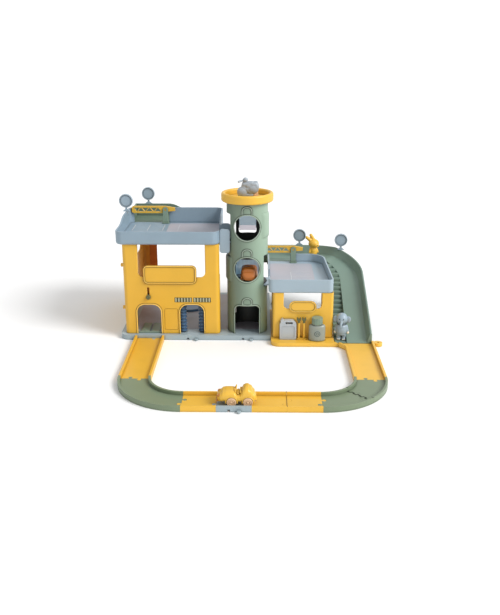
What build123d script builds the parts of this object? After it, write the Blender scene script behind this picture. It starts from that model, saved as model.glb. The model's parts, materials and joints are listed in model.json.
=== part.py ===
from build123d import *
import os
from math import asin, cos, degrees, radians, sin

# Toy parking garage with a hand-moved lift, a winding ramp and a loop of jigsaw track.
# Origin: on the axis of the lift tower, at table level. +X right, +Y away, +Z up. Millimetres.

os.makedirs("parts", exist_ok=True)

# ---------------------------------------------------------------- driving dimensions
fit_gap = 0.3            # air between pieces that clip or stand together
run_gap = 0.4            # air round pieces that slide or turn
pin_gap = 0.08           # radial air of a pin in its bore
skin = 3.0               # moulded wall

base_top = 15.0          # top of the blue-grey base plate
lower_floor = 164.0      # driving surface of the lower deck
upper_floor = 291.0      # driving surface of the upper deck

# base plate under the left building and the tower
base_left, base_right = -373.0, 69.7
base_front, base_back = -66.0, 345.0
base_corner = 25.0

# lift tower
tower_radius = 59.5
tower_wall = 2.5
tower_top = 403.0
tower_opening = 71.0     # width of the door, the windows and the side doorways
window_radius = 36.0
window_mid = 213.5
window_high = 335.5
door_head = 104.0
doorway_head = 80.0      # height of a side doorway over its deck
rim_width = 3.0
rim_proud = 1.5

# left building
left_x0, left_x1 = -359.0, -80.0
left_front = -51.0
left_plate = 4.0
pillar_width = 44.0
pillar_depth = 36.0
upper_pillar_depth = 12.0  # beside the big window
lower_pillar_left = 25.0
lower_pillar_right = 31.0
sill_left = 188.0        # bottom of the big window
arch_width = 70.0
arch_head = 105.0
arch_corner = 24.0
arch_1_x, arch_2_x = -287.5, -161.6
left_wall_back = 330.0
peg_radius, peg_reach = 5.5, 13.0
knob_low = 128.0         # service-lift knob at rest
service_travel = 22.0

# upper deck
upper_x0, upper_x1 = -376.0, -79.0
upper_front = -59.0
deck_back = 215.0        # rear face of both decks
upper_under = 286.0
upper_rim_front = 324.0
upper_rim_back = 339.0
deck_wall = 4.0
deck_corner = 22.0

# lower deck
lower_x0, lower_x1 = 62.0, 249.0
lower_front = -75.0
lower_under = 149.0
lower_rim = 189.0
lower_corner = 14.0

# right building
right_x0, right_x1 = 75.0, 250.0
right_front = -72.0
right_base_top = 12.0
right_base_front = -116.0
right_base_back = 180.0
right_base_x1 = 252.5

# chute behind the decks and winding ramp
lane_width = 105.0
chute_wall = 4.0
chute_floor = 5.0
chute_x0 = -372.0
chute_break_high, chute_break_low = -250.0, 40.0
chute_split = 60.0       # where the upper chute meets the winding ramp
chute_rim_high = 39.0    # rim over the floor at the upper deck
ramp_rim = 28.0          # rim over the floor along the ramp
turn_x, turn_y = 191.0, 150.0
turn_outer = 170.0
lane_inner = 98.0
stair_inner = 65.3
ramp_end = -102.0
ramp_level_run = 70.0    # level stretch of the turn
ramp_slope, ramp_dive = 0.36, 0.00018
stair_start = 40.0       # degrees round the turn where the stairs begin
stair_run = 17.0
stair_foot = -72.0
stair_foot_height = 8.0

# track
track_width = 85.0
track_height = 15.0
track_wall = 6.0
track_floor = 6.0
track_under = 2.0
track_bend = 135.0
left_lane_x = -286.5
front_lane_y = -490.5
bend_y = -355.5
front_x0 = -151.5
front_piece = 85.0
right_lane_x = 323.5
lock_radius = 5.0
lock_neck = 6.0
lock_reach = 6.0
lock_offset = 12.0
lock_top = 7.0

# vehicles
car_width = 46.0
wheel_radius, wheel_width = 11.5, 9.0
car_axles = (-12.2, 27.2)  # front and rear, from the car's middle
axle_radius = 2.0


# ---------------------------------------------------------------- sketch helpers
def block(x0, y0, x1, y1, mode=Mode.ADD):
    """Rectangle between two corners of the active sketch."""
    with Locations(((x0 + x1) / 2, (y0 + y1) / 2)):
        Rectangle(x1 - x0, y1 - y0, mode=mode)


def round_block(x0, y0, x1, y1, radius, mode=Mode.ADD):
    """Rounded rectangle between two corners of the active sketch."""
    with Locations(((x0 + x1) / 2, (y0 + y1) / 2)):
        RectangleRounded(x1 - x0, y1 - y0, radius, mode=mode)


def front_plane(y):
    """Upright plane at depth y, seen from the front; a positive extrusion comes forward."""
    return Plane.XZ.offset(-y)


def side_plane(x):
    """Upright plane at x, with Y to the right and Z up; a positive extrusion goes to +X."""
    return Plane.YZ.offset(x)


def level(z):
    """Horizontal plane at height z."""
    return Plane.XY.offset(z)


def lock_tongues(ends):
    """Jigsaw knobs of the piece's ends: each end is (x, y, outward angle)."""
    for x, y, angle in ends:
        with Locations(Location((x, y, 0), (0, 0, angle))):
            with Locations((lock_reach, lock_offset)):
                Circle(lock_radius)
            with Locations((lock_reach / 2 - 1, lock_offset)):
                Rectangle(lock_reach + 2, lock_neck)


def lock_sockets(ends):
    """Matching sockets, on the other half of each end."""
    for x, y, angle in ends:
        with Locations(Location((x, y, 0), (0, 0, angle))):
            with Locations((-lock_reach, -lock_offset)):
                Circle(lock_radius + fit_gap)
            with Locations((-lock_reach / 2 + 1, -lock_offset)):
                Rectangle(lock_reach + 2, lock_neck + 2 * fit_gap)


def add_locks(ends):
    """Give the active part its tongues and cut its sockets, at track-floor height."""
    with BuildSketch(level(track_under)) as shape:
        lock_tongues(ends)
    extrude(shape.sketch, amount=track_floor - track_under)
    with BuildSketch(level(-1)) as shape:
        lock_sockets(ends)
    extrude(shape.sketch, amount=lock_top + 1, mode=Mode.SUBTRACT)


def rib_pockets(x0, y0, x1, y1, columns, rows, depth, bottom=0.0):
    """Cut a grid of pockets into the underside, leaving ribs one skin thick."""
    pitch_x, pitch_y = (x1 - x0) / columns, (y1 - y0) / rows
    with BuildSketch(level(bottom)) as shape:
        with Locations(((x0 + x1) / 2, (y0 + y1) / 2)):
            with GridLocations(pitch_x, pitch_y, columns, rows):
                Rectangle(pitch_x - skin, pitch_y - skin)
    extrude(shape.sketch, amount=depth, mode=Mode.SUBTRACT)


def ring_sector(x, y, inner, outer, start, sweep):
    """Part of a flat ring about (x, y) in the active sketch, angles in degrees."""
    with BuildLine() as outline:
        far = CenterArc((x, y), outer, start, sweep)
        near = CenterArc((x, y), inner, start, sweep)
        Line(far @ 0, near @ 0)
        Line(far @ 1, near @ 1)
    make_face(outline.edges())


# ---------------------------------------------------------------- base plate
base_ends = [
    (left_lane_x, base_front, -90),
    (arch_2_x, base_front, -90),
    (0, base_front, -90),
]
turntable_x, turntable_y, turntable_radius = -191.5, 190.0, 50.0
spindle_radius = 3.0
spindle_depth = 8.0
roller_offset, roller_y, roller_radius = 29.0, -30.0, 12.0

with BuildPart() as base_plate:
    with BuildSketch():
        block(base_left, base_front, base_right, base_back)
        fillet(vertices().sort_by(Axis.X)[:2], radius=base_corner)
    extrude(amount=base_top)
    rib_pockets(base_left + 12, -36, -70, base_back - 12, 6, 7, base_top - skin)
    rib_pockets(-67, 66, base_right - 3, base_back - 12, 2, 5, base_top - skin)
    with BuildSketch():
        Circle(tower_radius - 6)
        Circle(18, mode=Mode.SUBTRACT)
        for turn in (0, 90):
            Rectangle(2 * tower_radius, skin, rotation=turn, mode=Mode.SUBTRACT)
    extrude(amount=base_top - skin, mode=Mode.SUBTRACT)
    # solid bosses round the bores of the turntable and of the two rollers
    with BuildSketch():
        with Locations((turntable_x, turntable_y)):
            Circle(9)
        with Locations((arch_2_x - roller_offset, roller_y), (arch_2_x + roller_offset, roller_y)):
            Circle(7)
    extrude(amount=base_top)
    with BuildSketch(level(base_top - spindle_depth)):
        with Locations((turntable_x, turntable_y)):
            Circle(spindle_radius + pin_gap)
        with Locations((arch_2_x - roller_offset, roller_y), (arch_2_x + roller_offset, roller_y)):
            Circle(spindle_radius + pin_gap)
    extrude(amount=spindle_depth, mode=Mode.SUBTRACT)
    add_locks(base_ends)
base_plate.part.label = "base_plate"
export_step(base_plate.part, "parts/base_plate.step")

# ---------------------------------------------------------------- left building
vent_z0, vent_z1 = 112.0, 127.0
vents = ((-212.0, -161.0), (-157.0, -106.0))
slot_width = 7.0
slot_bottom = knob_low - 4
slot_length = service_travel + 12
panel_x0, panel_x1, panel_z0, panel_z1 = -243.0, -203.0, 26.0, 93.0


def arch_outline(x, grow=0.0, mode=Mode.ADD):
    """Arched opening of the facade, wider and taller by grow."""
    half = arch_width / 2 + grow
    round_block(x - half, base_top - 60, x + half, arch_head + grow, arch_corner + grow, mode)


def corner_pillar(x0, x1, y0, depth, outer_side, bottom, top, corner=12.0):
    """Pillar moulded as a U that is open at the back; outer_side is -1 or 1."""
    with BuildSketch(level(bottom)) as shape:
        block(x0, y0, x1, y0 + depth)
        outer_end, inner_end = (0, -1) if outer_side < 0 else (-1, 0)
        fillet(vertices().group_by(Axis.Y)[0].sort_by(Axis.X)[outer_end], radius=corner)
        fillet(vertices().group_by(Axis.Y)[0].sort_by(Axis.X)[inner_end], radius=skin)
        with BuildSketch(mode=Mode.SUBTRACT):
            round_block(x0 + skin, y0 + skin, x1 - skin, y0 + depth + 40, skin)
    extrude(shape.sketch, amount=top - bottom)


pillars_left = (
    (left_x0, left_x0 + lower_pillar_left, -1, pillar_depth, base_top, sill_left),
    (left_x0, left_x0 + pillar_width, -1, upper_pillar_depth, sill_left - skin, upper_under),
    (left_x1 - lower_pillar_right, left_x1, 1, pillar_depth, base_top, sill_left),
    (left_x1 - pillar_width + 3, left_x1, 1, upper_pillar_depth, sill_left - skin, upper_under),
)
with BuildPart() as facade_left:
    for x0, x1, outer_side, depth, bottom, top in pillars_left:
        corner_pillar(x0, x1, left_front, depth, outer_side, bottom, top)
    with BuildSketch(front_plane(left_front)):
        block(left_x0 + 16, base_top, left_x1 - 16, sill_left + 16)
        round_block(left_x0 + pillar_width, sill_left, left_x1 - pillar_width + 3, upper_under, 15, Mode.SUBTRACT)
    extrude(amount=-left_plate)
    with BuildSketch(front_plane(left_front - 1)):
        for arch_x in (arch_1_x, arch_2_x):
            arch_outline(arch_x)
        for x0, x1 in vents:
            block(x0, vent_z0, x1, vent_z1)
        with Locations((arch_1_x, slot_bottom + slot_length / 2)):
            SlotOverall(slot_length, slot_width, rotation=90)
    extrude(amount=-left_plate - 2, mode=Mode.SUBTRACT)
    # raised rims of the arches and the outline of the door panel
    with BuildSketch(front_plane(left_front)):
        for arch_x in (arch_1_x, arch_2_x):
            arch_outline(arch_x, rim_width)
            arch_outline(arch_x, mode=Mode.SUBTRACT)
        block(left_x0, base_top - 80, left_x1, base_top, Mode.SUBTRACT)
    extrude(amount=rim_proud)
    with BuildSketch(front_plane(left_front)):
        round_block(panel_x0, panel_z0, panel_x1, panel_z1, 5)
        round_block(panel_x0 + 1.5, panel_z0 + 1.5, panel_x1 - 1.5, panel_z1 - 1.5, 4, Mode.SUBTRACT)
    extrude(amount=-1.2, mode=Mode.SUBTRACT)
facade_left.part.label = "facade_left"
export_step(facade_left.part, "parts/facade_left.step")

rear_corner_width, rear_corner_depth = 50.0, 45.0
with BuildPart() as side_wall_left:
    with BuildSketch(side_plane(left_x0)):
        block(left_front + pillar_depth + fit_gap, base_top, left_wall_back - 12, upper_under)
        block(left_front + upper_pillar_depth + fit_gap, sill_left + fit_gap, 0, upper_under)
        round_block(20, sill_left, left_wall_back - rear_corner_depth, upper_under + 40, 18, Mode.SUBTRACT)
    extrude(amount=skin)
    with BuildSketch(level(base_top)):
        block(left_x0, left_wall_back - rear_corner_depth, left_x0 + rear_corner_width, left_wall_back)
        fillet(vertices().sort_by(Axis.Y)[-2:].sort_by(Axis.X)[0], radius=14)
        with BuildSketch(mode=Mode.SUBTRACT):
            block(left_x0 + skin, left_wall_back - 80, left_x0 + rear_corner_width + 20, left_wall_back - skin)
            fillet(vertices().sort_by(Axis.Y)[-2:].sort_by(Axis.X)[0], radius=11)
    extrude(amount=upper_under - base_top)
    peg_middle = left_x0 + (skin - peg_reach) / 2
    with Locations((peg_middle, 0, 211), (peg_middle, 0, 80)):
        Cylinder(peg_radius, skin + peg_reach, rotation=(0, 90, 0))
side_wall_left.part.label = "side_wall_left"
export_step(side_wall_left.part, "parts/side_wall_left.step")

sign_x0, sign_x1, sign_z0, sign_z1 = -299.0, -147.0, 170.0, 224.0
sign_thick = 3.5
with BuildPart() as sign_board_left:
    with BuildSketch(front_plane(left_front)):
        round_block(sign_x0, sign_z0, sign_x1, sign_z1, 14)
    extrude(amount=sign_thick)
    with BuildSketch(front_plane(left_front - sign_thick)):
        round_block(sign_x0, sign_z0, sign_x1, sign_z1, 14)
        round_block(sign_x0 + 2, sign_z0 + 2, sign_x1 - 2, sign_z1 - 2, 12, Mode.SUBTRACT)
    extrude(amount=1.0)
    with BuildSketch(front_plane(left_front)):
        for x in (sign_x0 + 34, sign_x1 - 34):
            block(x - 6, sill_left, x + 6, sill_left + skin)
    extrude(amount=-left_plate - 1)
sign_board_left.part.label = "sign_board_left"
export_step(sign_board_left.part, "parts/sign_board_left.step")

vent_bars = 6
with BuildPart() as vent_grilles:
    for x0, x1 in vents:
        pitch = (x1 - x0) / vent_bars
        with BuildSketch(front_plane(left_front + left_plate)):
            block(x0 + fit_gap, vent_z0 + fit_gap, x1 - fit_gap, vent_z1 - fit_gap)
        extrude(amount=1.2)
        with BuildSketch(front_plane(left_front + left_plate - 1.2)):
            with Locations(((x0 + x1) / 2, (vent_z0 + vent_z1) / 2)):
                with GridLocations(pitch, 1, vent_bars, 1):
                    Rectangle(pitch / 2, vent_z1 - vent_z0 - 3)
        extrude(amount=2.6)
vent_grilles.part.label = "vent_grilles"
export_step(vent_grilles.part, "parts/vent_grilles.step")

# the column behind the left building: a tall tube under the deck, a lower one under the chute
column_x0, column_x1 = -138.0, -102.0
chute_drop = (upper_floor - lower_floor) / (chute_break_low - chute_break_high)


def chute_level(x):
    """Height of the upper chute's driving surface at x."""
    run = min(max(x, chute_break_high), chute_break_low) - chute_break_high
    return upper_floor - chute_drop * run


with BuildPart() as rear_column:
    with BuildSketch(level(base_top)):
        round_block(column_x0, deck_back - 40, column_x1, deck_back - 4, 6)
        round_block(column_x0 + skin, deck_back - 37, column_x1 - skin, deck_back - 7, 3, Mode.SUBTRACT)
    extrude(amount=upper_under - base_top)
    with BuildSketch(level(base_top)):
        round_block(column_x0, deck_back + 40, column_x1, deck_back + 76, 6)
        round_block(column_x0 + skin, deck_back + 43, column_x1 - skin, deck_back + 73, 3, Mode.SUBTRACT)
        block((column_x0 + column_x1) / 2 - 2, deck_back - 5, (column_x0 + column_x1) / 2 + 2, deck_back + 41)
    extrude(amount=upper_under - base_top)
    with BuildSketch(front_plane(deck_back - 2)):
        with BuildLine():
            Polyline(
                (column_x0 - 5, chute_level(column_x0 - 5) - chute_floor),
                (column_x1 + 5, chute_level(column_x1 + 5) - chute_floor),
                (column_x1 + 5, upper_under + 20),
                (column_x0 - 5, upper_under + 20),
                close=True,
            )
        make_face()
    extrude(amount=-lane_width, mode=Mode.SUBTRACT)
rear_column.part.label = "rear_column"
export_step(rear_column.part, "parts/rear_column.step")

# ---------------------------------------------------------------- upper deck
rear_opening_x0, rear_opening_x1 = -368.0, -250.0
deck_tall = upper_rim_back - upper_under

with BuildPart() as upper_deck:
    with BuildSketch(level(upper_under)):
        round_block(upper_x0, upper_front, upper_x1, deck_back, deck_corner)
    extrude(amount=deck_tall)
    fillet(faces().sort_by(Axis.Z)[0].edges(), radius=6)
    with BuildSketch(level(upper_floor)):
        round_block(
            upper_x0 + deck_wall,
            upper_front + deck_wall,
            upper_x1 - deck_wall,
            deck_back - deck_wall,
            deck_corner - deck_wall,
        )
    extrude(amount=deck_tall, mode=Mode.SUBTRACT)
    # the rim climbs from the front to the back in one long curve
    with BuildSketch(side_plane(upper_x0 - 5)):
        with BuildLine():
            low = Line((upper_front - 5, upper_rim_front), (10, upper_rim_front))
            climb = Bezier(low @ 1, (60, upper_rim_front), (60, upper_rim_back), (110, upper_rim_back))
            high = Line(climb @ 1, (deck_back + 5, upper_rim_back))
            Polyline(high @ 1, (deck_back + 5, upper_rim_back + 9), (upper_front - 5, upper_rim_back + 9), low @ 0)
        make_face()
    extrude(amount=upper_x1 - upper_x0 + 10, mode=Mode.SUBTRACT)
    # way out to the chute at the back, and to the tower on the right
    with BuildSketch(front_plane(deck_back + 5)):
        block(rear_opening_x0, upper_floor, rear_opening_x1, upper_rim_back + 9)
    extrude(amount=deck_wall + 6, mode=Mode.SUBTRACT)
    with BuildSketch(side_plane(upper_x1 - deck_wall - 2)):
        block(-tower_opening / 2, upper_floor, tower_opening / 2, upper_rim_back + 9)
    extrude(amount=deck_wall + 6, mode=Mode.SUBTRACT)
upper_deck.part.label = "upper_deck"
export_step(upper_deck.part, "parts/upper_deck.step")

bridge_x1 = -50.0
bridge_bottom, bridge_top = 258.0, 328.0
bridge_half = tower_opening / 2 - 0.5
with BuildPart() as deck_bridge:
    with BuildSketch(level(upper_floor - 4)):
        block(upper_x1 + fit_gap, -bridge_half, -40, bridge_half)
        Circle(tower_radius - tower_wall + fit_gap, mode=Mode.SUBTRACT)
    extrude(amount=4)
    for side in (-1, 1):
        cheek = side * (bridge_half + 0.5)
        with BuildSketch(front_plane(cheek)):
            round_block(upper_x1 + fit_gap, bridge_bottom, bridge_x1, bridge_top, 8)
        extrude(amount=-side * 4)
        with BuildSketch(front_plane(cheek)):
            block(upper_x1 + fit_gap, upper_floor - 4, -60, upper_floor)
        extrude(amount=side * 2)
deck_bridge.part.label = "deck_bridge"
export_step(deck_bridge.part, "parts/deck_bridge.step")

# ---------------------------------------------------------------- lift tower
doorway_half_angle = degrees(asin(tower_opening / 2 / tower_radius))
slot_angle = 130.0       # the handle's slot, behind on the left
handle_knob = 9.0        # radius of the handle's disc
rear_window_half = 26.0
rear_window_low, rear_window_high = 296.0, 374.0
rear_half_angle = degrees(asin(rear_window_half / tower_radius))
handle_over_floor = 40.0
lift_rest = 167.0        # top of the cab's floor at rest, level with the lower deck
lift_floor = 4.0
lift_low = base_top + fit_gap + lift_floor
lift_high = upper_floor + skin
handle_height, handle_width = 14.0, 8.0


def half_tower(front):
    """Half of the tower's tube with the rims round its openings."""
    side = -1 if front else 1
    if front:
        with BuildSketch(front_plane(-tower_radius - 10)) as shape:
            for height in (window_mid, window_high):
                with Locations((0, height)):
                    Circle(window_radius + rim_width)
                round_block(-15, height + window_radius - 8, 15, height + window_radius + 25, 14)
                round_block(-12.5, height + window_radius - 20, 12.5, height + window_radius + 22.5, 11.5, Mode.SUBTRACT)
            half = tower_opening / 2 + rim_width
            round_block(-half, base_top - 60, half, door_head + rim_width, 17)
            block(-half, base_top - 60, half, base_top, Mode.SUBTRACT)
            round_block(-15, door_head - 8, 15, door_head + 25, 14)
            round_block(-12.5, door_head + 3, 12.5, door_head + 22.5, 9, Mode.SUBTRACT)
        extrude(shape.sketch, amount=-2 * tower_radius)
        with BuildSketch(level(base_top)) as shape:
            Circle(tower_radius + rim_proud)
            Circle(tower_radius - tower_wall / 2, mode=Mode.SUBTRACT)
            block(-tower_radius * 2, 0, tower_radius * 2, tower_radius * 2, Mode.SUBTRACT)
        extrude(shape.sketch, amount=tower_top - base_top, mode=Mode.INTERSECT)
    with BuildSketch(level(base_top)) as shape:
        Circle(tower_radius)
        Circle(tower_radius - tower_wall, mode=Mode.SUBTRACT)
        reach = 2 * tower_radius
        near, far = sorted((0, -side * reach))
        block(-reach, near, reach, far, Mode.SUBTRACT)
    extrude(shape.sketch, amount=tower_top - base_top)
    for side_x, floor_z, head in (
        (-1, upper_floor - 8, upper_floor + doorway_head),
        (1, window_high - window_radius, upper_floor + doorway_head),
        (1, lower_floor - 8, lower_floor + doorway_head + 6),
        (-1, window_mid - window_radius, lower_floor + doorway_head + 6),
    ):
        with BuildSketch(side_plane(side_x * 30)) as shape:
            round_block(-tower_opening / 2, floor_z, tower_opening / 2, head, 3)
        extrude(shape.sketch, amount=side_x * 40, mode=Mode.SUBTRACT)


with BuildPart() as tower_front:
    half_tower(front=True)
    with BuildSketch(front_plane(-tower_radius - 10)):
        for height in (window_mid, window_high):
            with Locations((0, height)):
                Circle(window_radius)
        round_block(-tower_opening / 2, base_top - 40, tower_opening / 2, door_head, 14)
    extrude(amount=-40, mode=Mode.SUBTRACT)
tower_front.part.label = "tower_front"
export_step(tower_front.part, "parts/tower_front.step")

handle_plane = Plane(
    origin=(0, 0, 0),
    x_dir=(0, 0, 1),
    z_dir=(cos(radians(slot_angle)), sin(radians(slot_angle)), 0),
)
handle_bottom = lift_low + handle_over_floor - handle_height / 2 - 5
handle_top = lift_high + handle_over_floor + handle_height / 2 + 5
with BuildPart() as tower_rear:
    half_tower(front=False)
    with BuildSketch(front_plane(tower_radius + 10)):
        round_block(-rear_window_half, rear_window_low, rear_window_half, rear_window_high, 8)
    extrude(amount=40, mode=Mode.SUBTRACT)
    with BuildSketch(handle_plane.offset(tower_radius - 10)):
        with Locations(((handle_bottom + handle_top) / 2, 0)):
            SlotOverall(handle_top - handle_bottom, handle_width + 2 * run_gap)
    extrude(amount=20, mode=Mode.SUBTRACT)
tower_rear.part.label = "tower_rear"
export_step(tower_rear.part, "parts/tower_rear.step")

crown_outer, crown_inner, crown_height = 74.6, 63.0, 25.0
crown_dish = tower_top + 8
spigot_radius = tower_radius - tower_wall - fit_gap
with BuildPart() as tower_crown:
    with BuildSketch(Plane.XZ):
        block(0, crown_dish - 4, crown_inner + 1, crown_dish)
        block(spigot_radius - skin, tower_top, crown_inner + 1, crown_dish)
        block(spigot_radius - skin, tower_top - 8, spigot_radius, tower_top + 1)
        round_block(crown_inner, tower_top, crown_outer, tower_top + crown_height, 5.5)
    revolve(axis=Axis.Z)
tower_crown.part.label = "tower_crown"
export_step(tower_crown.part, "parts/tower_crown.step")

shutter_wall = 3.5
shutter_overlap = 3.0    # degrees past each edge of the opening
# direction, lower and upper edge, half angle of the opening behind
shutters = (
    (0, 300, 374, doorway_half_angle),
    (180, 172, 246, doorway_half_angle),
    (90, 311, 385, rear_half_angle),
)
with BuildPart() as tower_shutters:
    for middle, bottom, top, half_angle in shutters:
        half_angle += shutter_overlap
        with BuildSketch(level(bottom)):
            ring_sector(
                0, 0, tower_radius + fit_gap, tower_radius + fit_gap + shutter_wall,
                middle - half_angle, 2 * half_angle,
            )
        extrude(amount=top - bottom)
        with BuildSketch(level((bottom + top) / 2 - 4)):
            ring_sector(0, 0, tower_radius + shutter_wall, tower_radius + shutter_wall + 4, middle + 5, 15)
        extrude(amount=8)
tower_shutters.part.label = "tower_shutters"
export_step(tower_shutters.part, "parts/tower_shutters.step")

# lift cab, drawn at rest level with the lower deck
lift_radius = tower_radius - tower_wall - 2 * fit_gap
lift_height = 76.0
lift_roof = 3.0
back_from, back_to = 45.0, 141.0
handle_z = lift_rest + handle_over_floor
with BuildPart() as lift_cab:
    with BuildSketch(level(lift_rest - lift_floor)):
        Circle(lift_radius)
    extrude(amount=lift_floor)
    with BuildSketch(level(lift_rest)):
        ring_sector(0, 0, lift_radius - 2.5, lift_radius, back_from, back_to - back_from)
        for start in (-138, -52):
            ring_sector(0, 0, lift_radius - 2.5, lift_radius, start, 10)
    extrude(amount=lift_height)
    with BuildSketch(level(lift_rest + lift_height)):
        Circle(lift_radius)
    extrude(amount=lift_roof)
    with BuildSketch(handle_plane.offset(lift_radius - 6)):
        with Locations((handle_z, 0)):
            Rectangle(handle_height - 4 + fit_gap, handle_width - 2 + fit_gap)
    extrude(amount=12, mode=Mode.SUBTRACT)
lift_cab.part.label = "lift_cab"
export_step(lift_cab.part, "parts/lift_cab.step")

with BuildPart() as lift_handle:
    with BuildSketch(handle_plane.offset(lift_radius - 3)):
        with Locations((handle_z, 0)):
            Rectangle(handle_height - 4, handle_width - 2)
    extrude(amount=10)
    with BuildSketch(handle_plane.offset(lift_radius + fit_gap)):
        with Locations((handle_z, 0)):
            Rectangle(handle_height, handle_width)
    extrude(amount=12)
    with BuildSketch(handle_plane.offset(tower_radius + 4)):
        with Locations((handle_z, 0)):
            Circle(handle_knob)
    extrude(amount=9)
    fillet(faces().filter_by(handle_plane).sort_by(Axis.X)[0].edges(), radius=3)
lift_handle.part.label = "lift_handle"
export_step(lift_handle.part, "parts/lift_handle.step")

# ---------------------------------------------------------------- right building
funnel_neck_y = -140.0
lane_left_x = right_lane_x - track_width / 2
lane_right_x = right_lane_x + track_width / 2
flare_slope = (lane_left_x - right_base_x1) / (funnel_neck_y - ramp_end)


def flare_x(y):
    """Left edge of the funnel piece at y, between the ramp's foot and its neck."""
    return right_base_x1 + flare_slope * (y - ramp_end)


with BuildPart() as right_base:
    with BuildSketch():
        with BuildLine():
            Polyline(
                (base_right + fit_gap, right_base_front),
                (flare_x(right_base_front), right_base_front),
                (right_base_x1, ramp_end),
                (right_base_x1, right_base_back),
                (base_right + fit_gap, right_base_back),
                close=True,
            )
        make_face()
        fillet(vertices().group_by(Axis.Y)[0].sort_by(Axis.X)[0], radius=24)
    extrude(amount=right_base_top)
    rib_pockets(base_right + 8, right_base_front + 26, right_base_x1 - 4, right_base_back - 4, 3, 5, right_base_top - skin)
right_base.part.label = "right_base"
export_step(right_base.part, "parts/right_base.step")

right_window_x0, right_window_x1, right_sill = 106.0, 216.0, 101.0
pill_x0, pill_x1, pill_z0, pill_z1 = 122.0, 200.0, 91.0, 125.0
with BuildPart() as facade_right:
    corner_pillar(right_x0, right_window_x0, right_front, 30, -1, right_base_top, lower_under, 8)
    corner_pillar(right_window_x1, right_x1, right_front, 30, 1, right_base_top, lower_under, 8)
    with BuildSketch(front_plane(right_front)):
        block(right_window_x0 - 6, right_base_top, right_window_x1 + 6, right_sill + 14)
        round_block(right_window_x0, right_sill, right_window_x1, lower_under + 20, 12, Mode.SUBTRACT)
    extrude(amount=-left_plate)
    # pill-shaped board on the sill
    with BuildSketch(front_plane(right_front)):
        round_block(pill_x0, pill_z0, pill_x1, pill_z1, 16)
    extrude(amount=2.6)
    with BuildSketch(front_plane(right_front - 2.6)):
        round_block(pill_x0, pill_z0, pill_x1, pill_z1, 16)
        round_block(pill_x0 + 2, pill_z0 + 2, pill_x1 - 2, pill_z1 - 2, 14, Mode.SUBTRACT)
    extrude(amount=1.0)
facade_right.part.label = "facade_right"
export_step(facade_right.part, "parts/facade_right.step")

right_wall_back = right_base_back - 12
with BuildPart() as side_walls_right:
    for x in (right_x0, right_x1 - skin):
        with BuildSketch(side_plane(x)):
            block(right_front + 30 + fit_gap, right_base_top, right_wall_back, lower_under)
            round_block(-20, 50, right_wall_back - 16, lower_under - 14, 16, Mode.SUBTRACT)
        extrude(amount=skin)
side_walls_right.part.label = "side_walls_right"
export_step(side_walls_right.part, "parts/side_walls_right.step")

# ---------------------------------------------------------------- lower deck
lower_back_x1 = 241.0
lower_bend = 50.0
exit_x0, exit_x1 = 64.0, 134.0


def lower_outline(inset):
    """Outline of the lower deck, drawn in by inset."""
    left, right, front, back = lower_x0 + inset, lower_x1 - inset, lower_front + inset, deck_back - inset
    bend = lower_bend - inset
    with BuildLine() as outline:
        Polyline((turn_x, back), (left, back), (left, front), (right, front), (lower_back_x1 - inset, deck_back - lower_bend))
        CenterArc((turn_x, deck_back - lower_bend), bend, 0, 90)
    make_face(outline.edges())
    fillet(vertices().group_by(Axis.Y)[0], radius=lower_corner - inset)


with BuildPart() as lower_deck:
    with BuildSketch(level(lower_under)):
        lower_outline(0)
    extrude(amount=lower_rim - lower_under)
    fillet(faces().sort_by(Axis.Z)[0].edges().group_by(Axis.Y)[0], radius=5)
    with BuildSketch(level(lower_floor)):
        lower_outline(deck_wall)
    extrude(amount=lower_rim, mode=Mode.SUBTRACT)
    rib_pockets(lower_x0 + 14, -40, lower_back_x1 - 8, 160, 3, 4, 11, lower_under)
    with BuildSketch(front_plane(deck_back + 5)):
        block(exit_x0, lower_floor, exit_x1, lower_rim + 9)
    extrude(amount=deck_wall + 6, mode=Mode.SUBTRACT)
    with BuildSketch(side_plane(lower_x0 - 2)):
        block(-tower_opening / 2, lower_floor, tower_opening / 2, lower_rim + 9)
    extrude(amount=deck_wall + 3, mode=Mode.SUBTRACT)
    # floor tongue into the tower's doorway
    with BuildSketch(level(lower_floor - 4)):
        block(40, -bridge_half, lower_x0 + 2, bridge_half)
        Circle(tower_radius - tower_wall + fit_gap, mode=Mode.SUBTRACT)
    extrude(amount=4)
lower_deck.part.label = "lower_deck"
export_step(lower_deck.part, "parts/lower_deck.step")

# ---------------------------------------------------------------- upper chute
chute_y0 = deck_back + fit_gap
chute_y1 = turn_y + turn_outer
bend_radius = 60.0


def chute_band(low, high_left, high_right):
    """Side view of the chute between two lines that follow its floor."""
    with BuildLine() as outline:
        Polyline(
            (chute_x0, upper_floor + low),
            (chute_break_high, upper_floor + low),
            (chute_break_low, lower_floor + low),
            (chute_split - fit_gap, lower_floor + low),
            (chute_split - fit_gap, lower_floor + high_right),
            (chute_break_low, lower_floor + high_right),
            (chute_break_high, upper_floor + high_left),
            (chute_x0, upper_floor + high_left),
            close=True,
        )
    make_face(outline.edges())
    bends = [v for v in vertices() if chute_x0 + 5 < v.X < chute_split - 5]
    fillet(bends, radius=bend_radius)


with BuildPart() as upper_chute:
    with BuildSketch(front_plane(chute_y1)):
        chute_band(-chute_floor, 0, 0)
    extrude(amount=chute_y1 - chute_y0)
    with BuildSketch(front_plane(chute_y1)):
        chute_band(-chute_floor, chute_rim_high, ramp_rim)
    extrude(amount=chute_wall)
    with BuildSketch(front_plane(chute_y0 + skin)):
        chute_band(-chute_floor, 20, 20)
        block(chute_x0 - 5, lower_floor, rear_opening_x1 + 4, upper_floor + 60, Mode.SUBTRACT)
    extrude(amount=skin)
    with BuildSketch(side_plane(chute_x0)):
        block(chute_y0, upper_under, chute_y1, upper_floor + chute_rim_high)
    extrude(amount=chute_wall)
upper_chute.part.label = "upper_chute"
export_step(upper_chute.part, "parts/upper_chute.step")

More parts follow.
